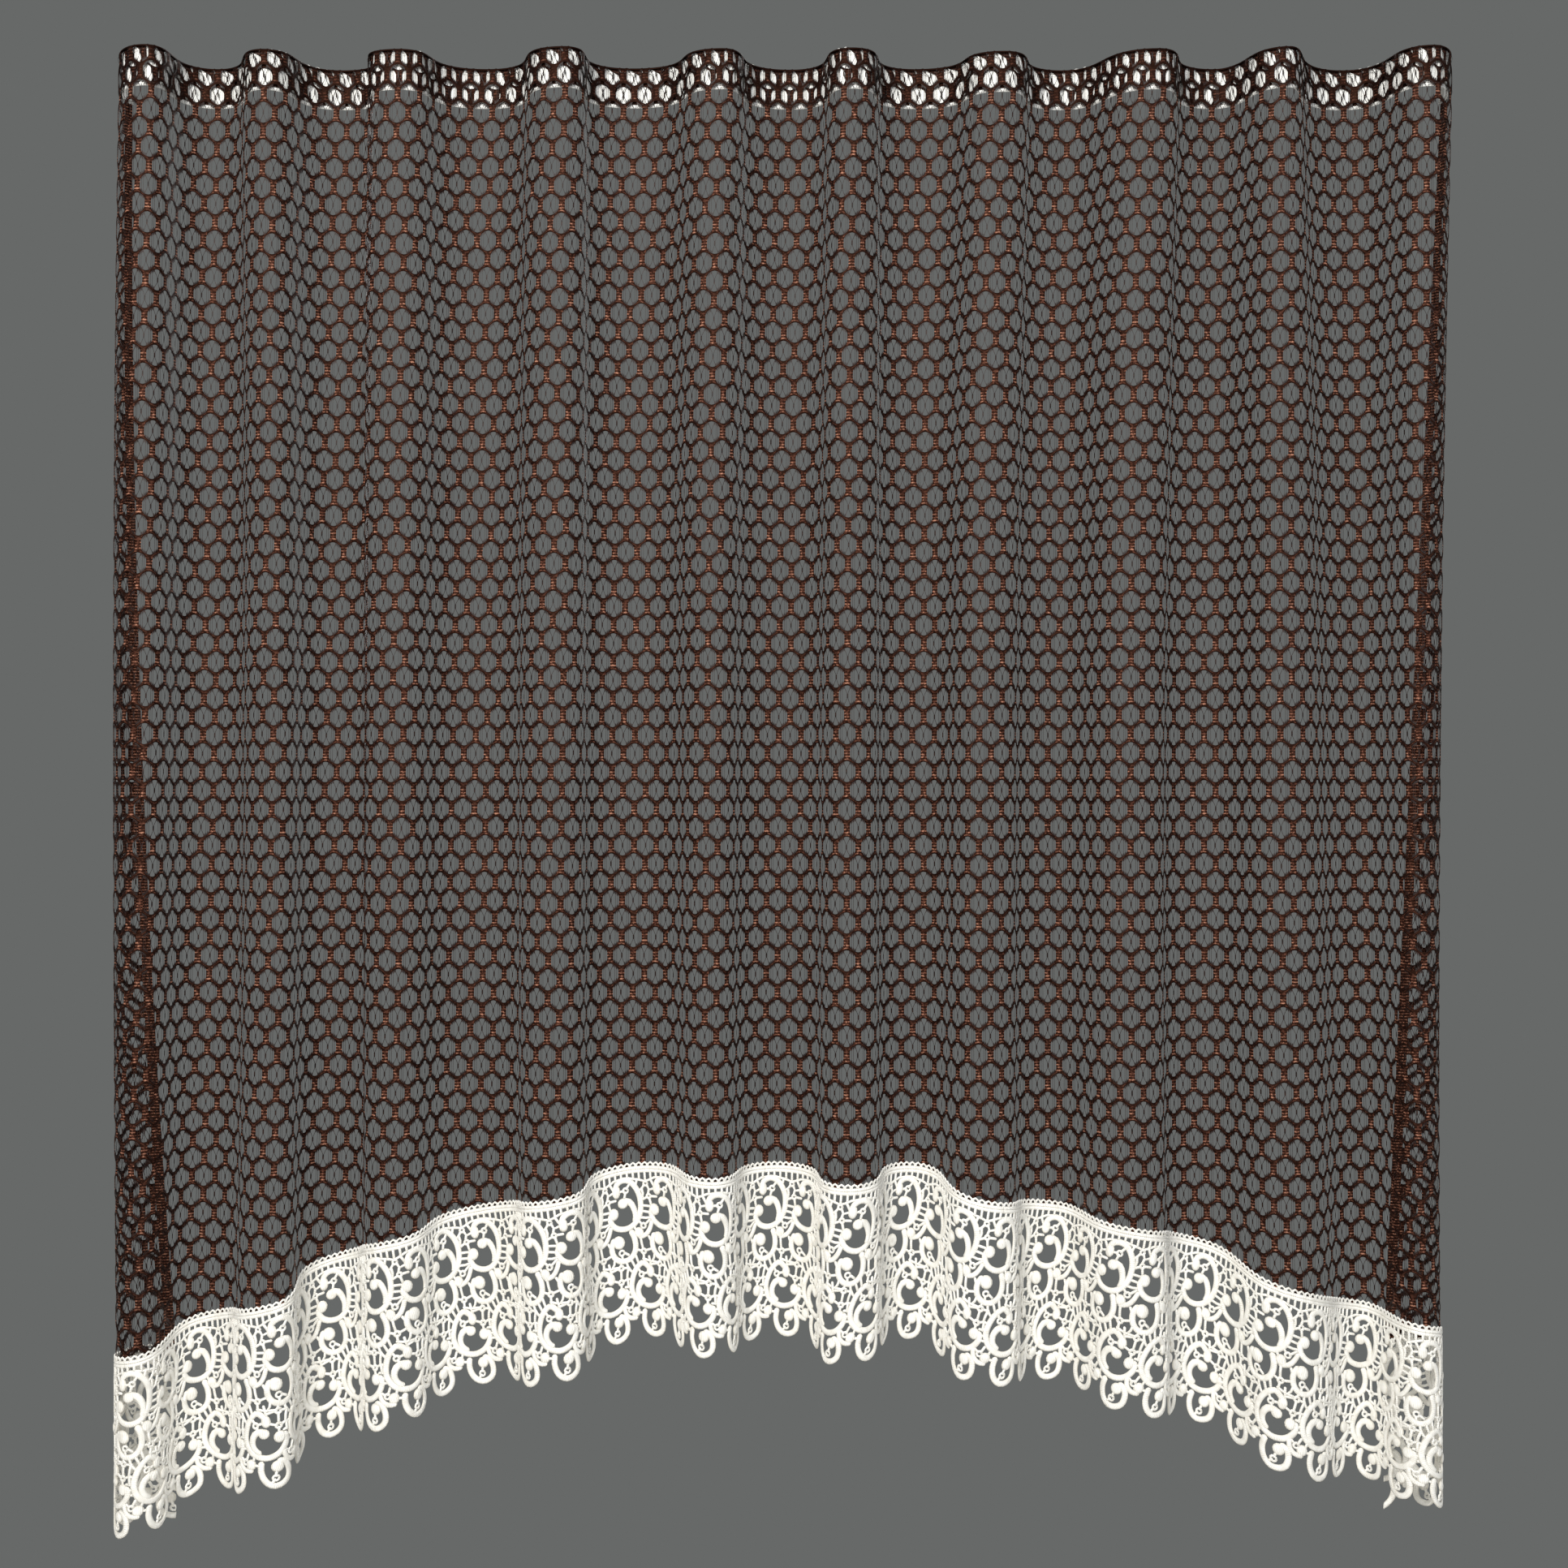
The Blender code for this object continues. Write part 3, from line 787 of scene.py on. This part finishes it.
def smoothPath(points, step):
    # A soft curve through the points, resampled evenly.
    p = np.array([points[0]] + list(points) + [points[-1]], float)
    p[0] = 2 * p[1] - p[2]
    p[-1] = 2 * p[-2] - p[-3]
    t = np.linspace(0, 1, 9)[:-1, None]  # eight steps from each point to the next
    dense = []
    for a, b, c, d in zip(p[:-3], p[1:-2], p[2:-1], p[3:]):
        bend = (2 * a - 5 * b + 4 * c - d) * t**2 + (3 * b - a - 3 * c + d) * t**3
        dense.append(0.5 * (2 * b + (c - a) * t + bend))
    dense = np.concatenate(dense + [p[-2][None]])
    run = runAlong(dense[:, 0], dense[:, 1])
    at = np.linspace(0, run[-1], max(2, round(run[-1] / step) + 1))
    return np.stack([np.interp(at, run, dense[:, k]) for k in (0, 1)], axis=-1), at


# One repeat of the lace, in mm: x from the repeat's middle, and y down from the border's top edge
lace = {
    "centre": 1.7,  # mm in front of the net
    "cord": 3.55,  # half width of a scroll's cord
    "cordRise": 1.35,
    "cordStep": 4.0,
    "cordSides": 8,
    "endLength": 0.6,  # a cord's rounded end, as shares of its half width
    "endWidth": 0.45,
    "ballRise": 2.1,
    "ballSides": 12,
    "ballProfile": ((-0.75, 0.55), (-0.3, 0.96), (0.25, 0.97), (0.7, 0.72), (0.94, 0.36)),
    "bandCords": ((7.5, 2.3), (11.2, 2.4)),  # the seam band: how far down, and half width
    "bandRise": 1.1,
    "bandStep": 3.5,
    "bandSides": 6,
    "bar": 1.6,  # half width of a twisted bar
    "barFlatness": 0.8,
    "barLevel": -0.1,
    "barStep": 6.6,
    "barSides": 5,
    "barSewnIn": 0.9,  # how far its ends run into what it joins
    "ring": 1.4,  # half width of a small ring's cord
    "ringSteps": 9,
    "upper": (3.5, 48.0),  # the middles of the scrolls and of the hanging loop
    "small": (-2.0, 96.0),
    "lower": (23.0, 143.5),
    "loop": (28.5, 185.5),
    "textureShift": (7.3, 3.1),  # so that no two repeats are worn alike
    "ballTextureShift": (3.1, 1.7),
    "crumb": 4.0,  # a cord that ends nearer than this to the cut side is trimmed off
    "inset": 0.3,  # the cut ends stay this far inside the net's sides
    "wave": 0.7,  # unevenness from handling, sideways
    "wavePitch": 173.0,
    "waveLean": 31.0,
    "waveFull": 40.0,  # how far down it is in full
    "sag": 1.4,  # the same up and down, as a share of it
    "sagPitch": 131.0,
    "sagStart": 1.3,
    "sagFull": 120.0,
    "roundness": 1.15,  # a cord's front is this much wider than the cord
}


class Stamp:
    # One lace repeat, gathered as points (across, down, height), faces, flat texture places and the
    # heights that set painted shade.
    def __init__(self):
        self.points, self.faces, self.uv, self.crown = [], [], [], []

    def add(self, points, faces, uv, crown):
        base = sum(len(p) for p in self.points)
        self.points.append(np.asarray(points, float))
        self.uv.append(np.asarray(uv, float))
        self.crown.append(np.broadcast_to(np.asarray(crown, float), len(points)))
        self.faces += [tuple(base + v for v in face) for face in faces]

    def tube(self, points, width, rise, step=lace["cordStep"], sides=lace["cordSides"],
             level=0.0, closed=False, fine=False):
        # A cord that lies flat: width is its half width, or a pair that it changes between.
        if closed:
            path, at = smoothPath(list(points) + [points[0]], step)
            path, at = path[:-1], at[:-1]
            ahead, behind = np.roll(path, -1, 0), np.roll(path, 1, 0)
        else:
            path, at = smoothPath(points, step)
            ahead = np.concatenate([path[1:], path[-1:]])
            behind = np.concatenate([path[:1], path[:-1]])
        along = ahead - behind
        along /= np.linalg.norm(along, axis=1, keepdims=True)
        side = np.stack([-along[:, 1], along[:, 0]], axis=-1)
        share = at / max(at[-1], tiny)
        halfWidth = np.interp(share, np.linspace(0, 1, np.size(width)), np.atleast_1d(width))
        halfRise = np.full(len(path), float(rise))
        if not closed:  # rounded ends
            first = path[:1] - along[:1] * halfWidth[0] * lace["endLength"]
            last = path[-1:] + along[-1:] * halfWidth[-1] * lace["endLength"]
            path = np.concatenate([first, path, last])
            side = np.concatenate([side[:1], side, side[-1:]])
            at = np.concatenate([at[:1] - 1, at, at[-1:] + 1])
            halfWidth, halfRise = (
                np.concatenate([half[:1] * lace["endWidth"], half, half[-1:] * lace["endWidth"]])
                for half in (halfWidth, halfRise)
            )
        angles = fullTurn * (np.arange(sides) + 0.5) / sides
        outwards = halfWidth[:, None] * np.cos(angles)
        flat = path[:, None, :] + side[:, None, :] * outwards[..., None]
        height = level + halfRise[:, None] * np.sin(angles)
        verts = np.concatenate([flat, height[..., None]], axis=-1).reshape(-1, 3)
        uv = np.stack(np.broadcast_arrays(at[:, None], outwards), axis=-1).reshape(-1, 2)
        rings = len(path)
        faces = []
        for r in range(rings if closed else rings - 1):
            here, there = r * sides, (r + 1) % rings * sides
            for k in range(sides):
                beside = (k + 1) % sides
                faces.append((here + k, there + k, there + beside, here + beside))
        if not closed:
            faces.append(tuple(range(sides)))
            faces.append(tuple((rings - 1) * sides + k for k in range(sides))[::-1])
        # Height round the cord, from edge to crown, which sets the painted shade
        crown = np.abs(np.sin(angles)) * (halfRise / halfRise.max())[:, None]
        if fine:  # a thin bar gets less painted shade at its edges
            crown = 0.5 + 0.5 * crown
        self.add(verts, faces, uv, crown.ravel())

    def ball(self, x, y, halfWidth, halfHeight, tilt=0.0):
        # A padded, satin-stitched oval.
        n, profile = lace["ballSides"], lace["ballProfile"]
        verts = [(0.0, 0.0, -1.0)]
        for z, r in profile:
            verts += [(r * math.cos(fullTurn * k / n), r * math.sin(fullTurn * k / n), z)
                      for k in range(n)]
        verts = np.array(verts + [(0.0, 0.0, 1.0)])
        faces = [(0, 1 + (k + 1) % n, 1 + k) for k in range(n)]
        for a in range(1, 1 + (len(profile) - 1) * n, n):
            faces += [(a + k, a + (k + 1) % n, a + n + (k + 1) % n, a + n + k) for k in range(n)]
        top, last = len(verts) - 1, 1 + (len(profile) - 1) * n
        faces += [(last + k, last + (k + 1) % n, top) for k in range(n)]
        c, s = math.cos(math.radians(tilt)), math.sin(math.radians(tilt))
        px, py = verts[:, 0] * halfWidth, verts[:, 1] * halfHeight
        height = verts[:, 2] * lace["ballRise"]
        place = np.stack([x + px * c - py * s, y + px * s + py * c, height], axis=-1)
        uv = place[:, :2] + np.array((x, y)) * lace["ballTextureShift"]
        # The ball's painted shade grows towards its rim
        self.add(place, faces, uv, np.abs(verts[:, 2]))

    def ring(self, x, y, radius):
        around = [(x + radius * math.cos(a), y + radius * math.sin(a))
                  for a in np.linspace(0, fullTurn, 8, endpoint=False)]
        self.tube(
            around, lace["ring"], lace["ring"] * lace["barFlatness"],
            step=radius * fullTurn / lace["ringSteps"], sides=lace["barSides"],
            closed=True, fine=True,
        )

    def bar(self, *points, thick=lace["bar"]):
        # A twisted bar, its ends sewn a little way into what it joins.
        path = np.array(points, float)
        for end, inner in ((0, 1), (-1, -2)):
            away = path[end] - path[inner]
            path[end] += away / np.linalg.norm(away) * lace["barSewnIn"]
        self.tube(
            path.tolist(), thick, thick * lace["barFlatness"],
            step=lace["barStep"], sides=lace["barSides"], level=lace["barLevel"], fine=True,
        )


def shifted(centre, *points):
    return [(centre[0] + x, centre[1] + y) for x, y in points]


def scrollStamp():
    stamp = Stamp()
    cord, rise = lace["cord"], lace["cordRise"]
    upper, small, lower, loop = lace["upper"], lace["small"], lace["lower"], lace["loop"]
    # Upper scroll: the outer cord, the balls and the inner curl
    stamp.tube(shifted(
        upper, (-7.5, -13), (-8.2, -19), (-6, -24.5), (-1, -27.7), (5, -27.8), (11, -24.5),
        (16, -18), (19.3, -9.5), (20.2, 0), (18.8, 10), (14.8, 18.5), (8.5, 24.8), (0.5, 27.5),
        (-8, 26), (-14.5, 21), (-17.5, 14), (-16.5, 9),
    ), cord, rise)
    stamp.ball(upper[0] - 7.2, upper[1] - 16.5, 5.2, 8.0)
    stamp.ball(upper[0] - 13.0, upper[1] + 8.0, 6.5, 7.2)
    stamp.ball(upper[0] - 0.5, upper[1] - 2.0, 6.4, 6.2)
    stamp.tube(shifted(
        upper, (-0.5, -3), (5, -4), (9.5, 0.5), (12, 7.5), (12.6, 14), (11, 20),
    ), (4.2, 3.1), rise)
    # Small scroll under it
    stamp.tube(shifted(
        small, (-10.5, -11), (-14, -4), (-13.4, 5), (-9.2, 12), (-2, 15.5), (6, 14), (12, 8),
        (14.2, 0), (13.6, -9), (11, -16.5),
    ), cord, rise)
    stamp.ball(small[0] - 5.0, small[1] - 7.0, 7.2, 8.2, tilt=-25)
    # Lower scroll
    stamp.tube(shifted(
        lower, (3.7, -20), (-4.6, -26.7), (-12.9, -21.2), (-18.4, -12), (-21.2, 0), (-18.4, 11),
        (-11, 19.3), (0, 23.5), (11, 21.2), (18.4, 14.7), (21.6, 7.4), (20.2, 1.8),
    ), cord, rise)
    stamp.ball(lower[0] + 4.2, lower[1] - 16.0, 5.2, 7.2)
    stamp.ball(lower[0] + 15.3, lower[1] + 3.4, 6.2, 6.8)
    stamp.ball(lower[0] + 0.5, lower[1] - 3.0, 6.0, 5.8)
    stamp.tube(shifted(
        lower, (1.8, -3.7), (-4.6, -6), (-10, -3.7), (-13.5, 3.7), (-12, 12), (-7, 17),
    ), (4.5, 3.1), rise)
    # Wings: a ball with a crescent that sweeps to the neighbour
    stamp.ball(18.0, 82.0, 5.6, 6.6, tilt=-15)
    stamp.tube([(18.0, 87.0), (26.0, 85.0), (31.5, 78.0), (34.5, 70.5)], (3.2, 2.7), rise)
    stamp.ball(4.7, 171.5, 5.8, 6.4, tilt=15)
    stamp.tube([(4.5, 177.5), (-2.5, 177.0), (-8.0, 171.5), (-9.5, 163.5)], (3.1, 2.7), rise)
    # Hanging loop
    stamp.tube(shifted(
        loop, (-12.5, -14), (-14, -4), (-11, 6.5), (-4, 12.8), (4, 12.8), (11, 8), (13, -1),
        (10.5, -10), (5, -13),
    ), cord, rise)
    stamp.ball(loop[0] + 2.5, loop[1] - 7.5, 6.4, 6.6)
    # The two cords of the seam band
    for down, half in lace["bandCords"]:
        line = [(x, down) for x in np.linspace(0, lacePitch, 8)]
        stamp.tube(line, half, lace["bandRise"], step=lace["bandStep"], sides=lace["bandSides"])
    return stamp


laceGroundChart = {
    "edgeLoops": 7,  # small loops along the top edge of one repeat
    "edgeLoopHalf": 3.0,
    "edgeLoopHeight": 3.2,
    "edgeLoopMiddle": 4.6,
    "edgeLoopFoot": 6.4,
    "edgeLoopThread": 1.35,
    "edgeLoopRise": 1.0,
    "edgeLoopStep": 3.4,
    "postTop": 12.6,
    "postLap": 0.4,  # how far a post laps over the web
    "webThread": 1.5,
    # A web of thin bars hangs under the band
    "web": (
        (0.0, 18.6), (7.0, 17.8), (14.0, 18.8), (21.5, 21.2), (28.0, 22.0), (31.5, 23.8),
        (38.0, 21.4), (44.0, 18.8), (lacePitch, 18.6),
    ),
    # The small ring in each scroll and in the loop, and the pins that hold it, from its middle
    "pinned": {
        "upper": ((4, -16), ((5.6, -18.3), (8.8, -22.6)), ((1.2, -16), (-2.6, -15.8)),
                  ((3.4, -13.3), (2, -8.5))),
        "small": ((-3, 5.5), ((-3.2, 9.3), (-3, 12.5)), ((0.6, 6.4), (4, 9))),
        "lower": ((-7.5, -13.5), ((-8.6, -16.1), (-10.4, -19.6)), ((-4.8, -14), (-0.6, -14.6)),
                  ((-6.6, -10.8), (-5.2, -7))),
        "loop": ((-1, 4.6), ((-2.8, 6.6), (-5.4, 9.2)), ((-0.4, 1.9), (0.6, -2.2))),
    },
    "pinnedRadius": 2.95,
    # Between the scrolls: rings by middle and radius, and bars from point to point
    "rings": (
        (31.5, 26.4, 2.5), (34.2, 41.0, 2.5), (24.0, 74.5, 2.95), (21.0, 104.0, 2.95),
        (-8.0, 118.5, 2.95), (-9.9, 134.4, 2.95), (-1.8, 167.6, 2.95),
    ),
    "bars": (
        # Round the knots between the upper scrolls
        ((29.4, 28.0), (26.6, 32.0), (22.2, 34.5)),
        ((26.6, 32.0), (27.5, 37.5), (26.4, 43.0)),
        ((33.2, 28.2), (35.0, 33.5), (41.0, 32.0)),
        ((35.0, 33.5), (33.6, 38.4)),
        ((36.8, 41.0), (43.0, 41.2)),
        ((31.8, 42.0), (26.4, 44.5)),
        ((34.8, 43.6), (36.0, 50.0)),
        ((26.2, 51.5), (33.5, 52.5)),
        ((25.4, 58.0), (33.0, 59.5)),
        ((22.2, 65.0), (27.5, 66.0), (33.8, 65.5)),
        ((38.0, 21.4), (41.5, 28.5)),
        ((21.5, 21.2), (19.5, 28.5)),
        # The first wing, and the knot under it
        ((22.0, 72.4), (19.0, 68.6)),
        ((26.4, 73.2), (32.5, 68.0)),
        ((12.8, 74.0), (14.8, 79.0)),
        ((11.5, 84.0), (13.5, 83.0)),
        ((20.4, 101.4), (19.5, 95.0), (19.0, 88.0)),
        ((18.4, 103.4), (13.5, 101.0)),
        ((23.6, 103.4), (31.5, 101.5)),
        ((20.6, 106.6), (20.0, 116.5)),
        ((29.5, 88.0), (31.5, 93.0)),
        # Posts round the top of the lower scroll
        ((10.5, 106.5), (13.2, 117.5)),
        ((4.5, 110.5), (8.6, 121.0)),
        ((-1.0, 113.0), (0.5, 120.0), (5.2, 126.5)),
        ((0.5, 120.0), (-5.4, 118.8)),
        ((-8.0, 115.8), (-7.0, 110.5)),
        ((-10.6, 118.0), (-18.5, 119.2)),
        ((-8.4, 121.2), (-9.6, 131.8)),
        ((-12.4, 133.6), (-17.5, 131.0)),
        ((-7.2, 134.0), (-2.5, 132.0), (3.2, 134.5)),
        ((-2.5, 132.0), (-1.5, 126.0), (0.5, 120.0)),
        ((-10.2, 137.0), (-10.6, 141.5)),
        ((-5.0, 141.0), (1.2, 141.5)),
        ((-2.0, 133.0), (-2.2, 141.2)),
        ((-3.6, 147.5), (1.6, 147.8)),
        ((-3.8, 153.0), (3.0, 153.6)),
        ((27.0, 111.0), (28.5, 121.0)),
        ((34.5, 107.0), (31.0, 116.0), (20.0, 112.5)),
        ((31.0, 116.0), (37.0, 117.0)),
        # The second wing
        ((-0.2, 165.6), (2.6, 160.0)),
        ((-4.0, 166.0), (-8.4, 161.8)),
        ((8.5, 166.5), (10.0, 162.0)),
        ((10.0, 173.0), (15.5, 174.5)),
    ),
}


def groundStamp():
    stamp, chart = Stamp(), laceGroundChart
    stamp.bar(*chart["web"], thick=chart["webThread"])
    half, height = chart["edgeLoopHalf"], chart["edgeLoopHeight"]
    middle, foot = chart["edgeLoopMiddle"], chart["edgeLoopFoot"]
    for k in range(chart["edgeLoops"]):
        x = (k + 0.5) * (lacePitch / chart["edgeLoops"])
        arch = [(x + half * math.cos(a), middle - height * math.sin(a))
                for a in np.linspace(0.0, math.pi, 5)]
        stamp.tube(
            [(x + half, foot)] + arch + [(x - half, foot)], chart["edgeLoopThread"],
            chart["edgeLoopRise"], step=chart["edgeLoopStep"], sides=lace["barSides"], fine=True,
        )
        # One post for each loop holds the web
        lap = float(np.interp(x, *zip(*chart["web"]))) - chart["postLap"]
        stamp.bar((x, chart["postTop"]), (x, lap), thick=chart["webThread"])
    for name, (ringMiddle, *pins) in chart["pinned"].items():
        x, y = shifted(lace[name], ringMiddle)[0]
        stamp.ring(x, y, chart["pinnedRadius"])
        for pin in pins:
            stamp.bar(*shifted(lace[name], *pin))
    for x, y, radius in chart["rings"]:
        stamp.ring(x, y, radius)
    for points in chart["bars"]:
        stamp.bar(*points)
    return stamp


def sewnRepeats(name, stamp, material):
    # Repeats a stamp along the border, trims it at the sides and hangs it.
    points, uv, crown = (np.concatenate(p) for p in (stamp.points, stamp.uv, stamp.crown))
    part = np.repeat(np.arange(len(stamp.points)), [len(p) for p in stamp.points])
    first, last = -2, cloth["laceRepeats"] + 1
    flat, texture, faces = [], [], []
    for repeat in range(first, last):
        place = points + np.array((repeat * lacePitch + lacePitch / 2, 0.0, 0.0))
        flat.append(place)
        texture.append(uv + repeat * np.array(lace["textureShift"]))
        fromSide = np.minimum(place[:, 0], flatWidth - place[:, 0])
        reach = np.full(len(stamp.points), -np.inf)
        np.maximum.at(reach, part, fromSide)
        inside = (fromSide > 0) & (reach[part] > lace["crumb"])  # a short cut end would hang loose
        kept = stamp.faces
        if not inside.all():
            kept = [face for face in kept if inside[list(face)].any()]
        base = len(points) * (repeat - first)
        faces += [tuple(base + v for v in face) for face in kept]
    used, faces = usedOnly(faces)
    x, down, height = np.concatenate(flat)[used].T
    wave = lace["wave"] * np.minimum(down / lace["waveFull"], 1.0)
    x = x + wave * np.sin(fullTurn * x / lace["wavePitch"] + down / lace["waveLean"])
    sag = np.sin(fullTurn * x / lace["sagPitch"] + lace["sagStart"])
    down = down + wave * lace["sag"] * sag * np.minimum(down / lace["sagFull"], 1.0)
    x = np.clip(x, lace["inset"], flatWidth - lace["inset"])
    placed = lacePlace(x, down, lace["centre"] + height)
    texture, crown = np.concatenate(texture)[used], np.tile(crown, last - first)[used]
    return meshPiece(name, placed, faces, material, texture, {"crown": crown})


stitches = {
    "rows": (5.5, 42.6),  # mm below the top fold
    "pitch": 4.2,
    "length": 2.8,
    "halfWidth": 0.3,
    "rise": 0.45,
    "front": 0.55,  # offset of the stitches that show on the net, and on the tape
    "back": -4.9,
    "fromLeft": 4.0,
    "fromRight": 6.0,
}


def headingStitches(material):
    stamp = Stamp()
    half, length = stitches["halfWidth"], stitches["length"]
    starts = np.arange(stitches["fromLeft"], flatWidth - stitches["fromRight"], stitches["pitch"])
    frontFaces = ((0, 1, 2), (3, 2, 4), (0, 2, 3), (1, 4, 2))
    backFaces = [(a, c, b) for a, b, c in frontFaces]
    for row in stitches["rows"]:
        for height, rise, faces in ((stitches["front"], stitches["rise"], frontFaces),
                                    (stitches["back"], -stitches["rise"], backFaces)):
            for x in starts:
                middle, end = x + length / 2, x + length
                points = [(x, row - half, height), (x, row + half, height),
                          (middle, row, height + rise),
                          (end, row - half, height), (end, row + half, height)]
                stamp.add(points, faces, [(x, 0), (x, 1), (middle, 0.5), (end, 0), (end, 1)], 0.0)
    across, down, offset = np.concatenate(stamp.points).T
    placed, uv = draped(across, down, offset), np.concatenate(stamp.uv)
    return meshPiece("headingStitches", placed, stamp.faces, material, uv)


print("Making the materials")
netYarn = knittedNetYarn()
filament = fineNetThread()
tapeCloth = wovenTapeCloth()
laceThread = stitchedLaceThread()

print("Knitting the net")
panel, cellCentres = netPanel(netYarn)
threads = netThreads(filament, cellCentres)

print("Weaving the heading tape")
tapePiece = headingTape(tapeCloth)
stitchPiece = headingStitches(filament)

print("Sewing the lace border")
border = sewnRepeats("laceBorder", scrollStamp(), laceThread)
ground = sewnRepeats("laceGround", groundStamp(), laceThread)

for piece, slotName in ((panel, "brown_net"), (threads, "brown_net"), (tapePiece, "white_tape"),
                        (stitchPiece, "brown_net"), (border, "white_lace"), (ground, "white_lace")):
    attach(piece, "root")
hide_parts("net_panel")
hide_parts("heading_tape")
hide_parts("lace_border")

studio = {
    "eye": (0.0, -2.236, -0.824),  # level with the middle of the curtain, square on
    "lens": 44.56,
    "background": "#676968",
    "floor": "#c8c5bf",
    "floorRoughness": 0.9,
    "floorLevel": -2.6,
    "floorReach": (16.0, -16.0, 2.0),  # to each side, towards the room, and behind the curtain
    "lights": {  # place, what it aims at, width and height, watts and colour
        "key": ((-1.0, -3.3, 0.8), (0, 0, -0.8), (1.2, 1.2), 184, "#fffdf9"),
        "fill": ((2.2, -2.7, 0.0), (0, 0, -0.9), (1.8, 1.8), 44, "#f7faff"),
        "back": ((0.6, 2.8, 0.6), (0, 0, -0.8), (2.6, 2.6), 80, "#ffffff"),
    },
}


def softLight(name, place, aim, size, watts, colour):
    data = bpy.data.lights.new(name, "AREA")
    data.shape = "RECTANGLE"
    data.size, data.size_y = size
    data.energy = watts
    data.color = linear(colour)[:3]
    light = bpy.data.objects.new(name, data)
    direction = np.array(aim) - np.array(place)
    light.location = place
    light.rotation_euler = (
        math.atan2(math.hypot(direction[0], direction[1]), -direction[2]), 0.0,
        math.atan2(direction[1], direction[0]) - math.pi / 2,
    )
    bpy.context.scene.collection.objects.link(light)


def paleFloor():
    material, shader = newMaterial("Matt painted floor, pale")
    colour = linear(studio["floor"])
    setNode(material, shader, {"Base Color": colour, "Roughness": studio["floorRoughness"]})
    mesh = bpy.data.meshes.new("floor")
    z = studio["floorLevel"]
    side, near, far = studio["floorReach"]
    corners = [(-side, near, z), (side, near, z), (side, far, z), (-side, far, z)]
    mesh.from_pydata(corners, [], [(0, 1, 2, 3)])
    mesh.materials.append(material)
    floor = bpy.data.objects.new("floor", mesh)
    bpy.context.scene.collection.objects.link(floor)


def makeStudio():
    scene = bpy.context.scene
    lens = bpy.data.cameras.new("camera")
    lens.sensor_width = 36.0
    lens.lens = studio["lens"]
    camera = bpy.data.objects.new("camera", lens)
    camera.location = studio["eye"]
    camera.rotation_euler = (math.pi / 2, 0.0, 0.0)
    scene.collection.objects.link(camera)
    scene.camera = camera
    paleFloor()
    scene.view_settings.view_transform = "Standard"  # white thread stays white and dark yarn dark
    world = bpy.data.worlds.new("studio")
    scene.world = world
    world.use_nodes = True
    background = world.node_tree.nodes["Background"]
    setNode(world, background, {"Color": linear(studio["background"]), "Strength": 1.0})
    for name, settings in studio["lights"].items():
        softLight(name, *settings)


print("Setting the studio")
makeStudio()
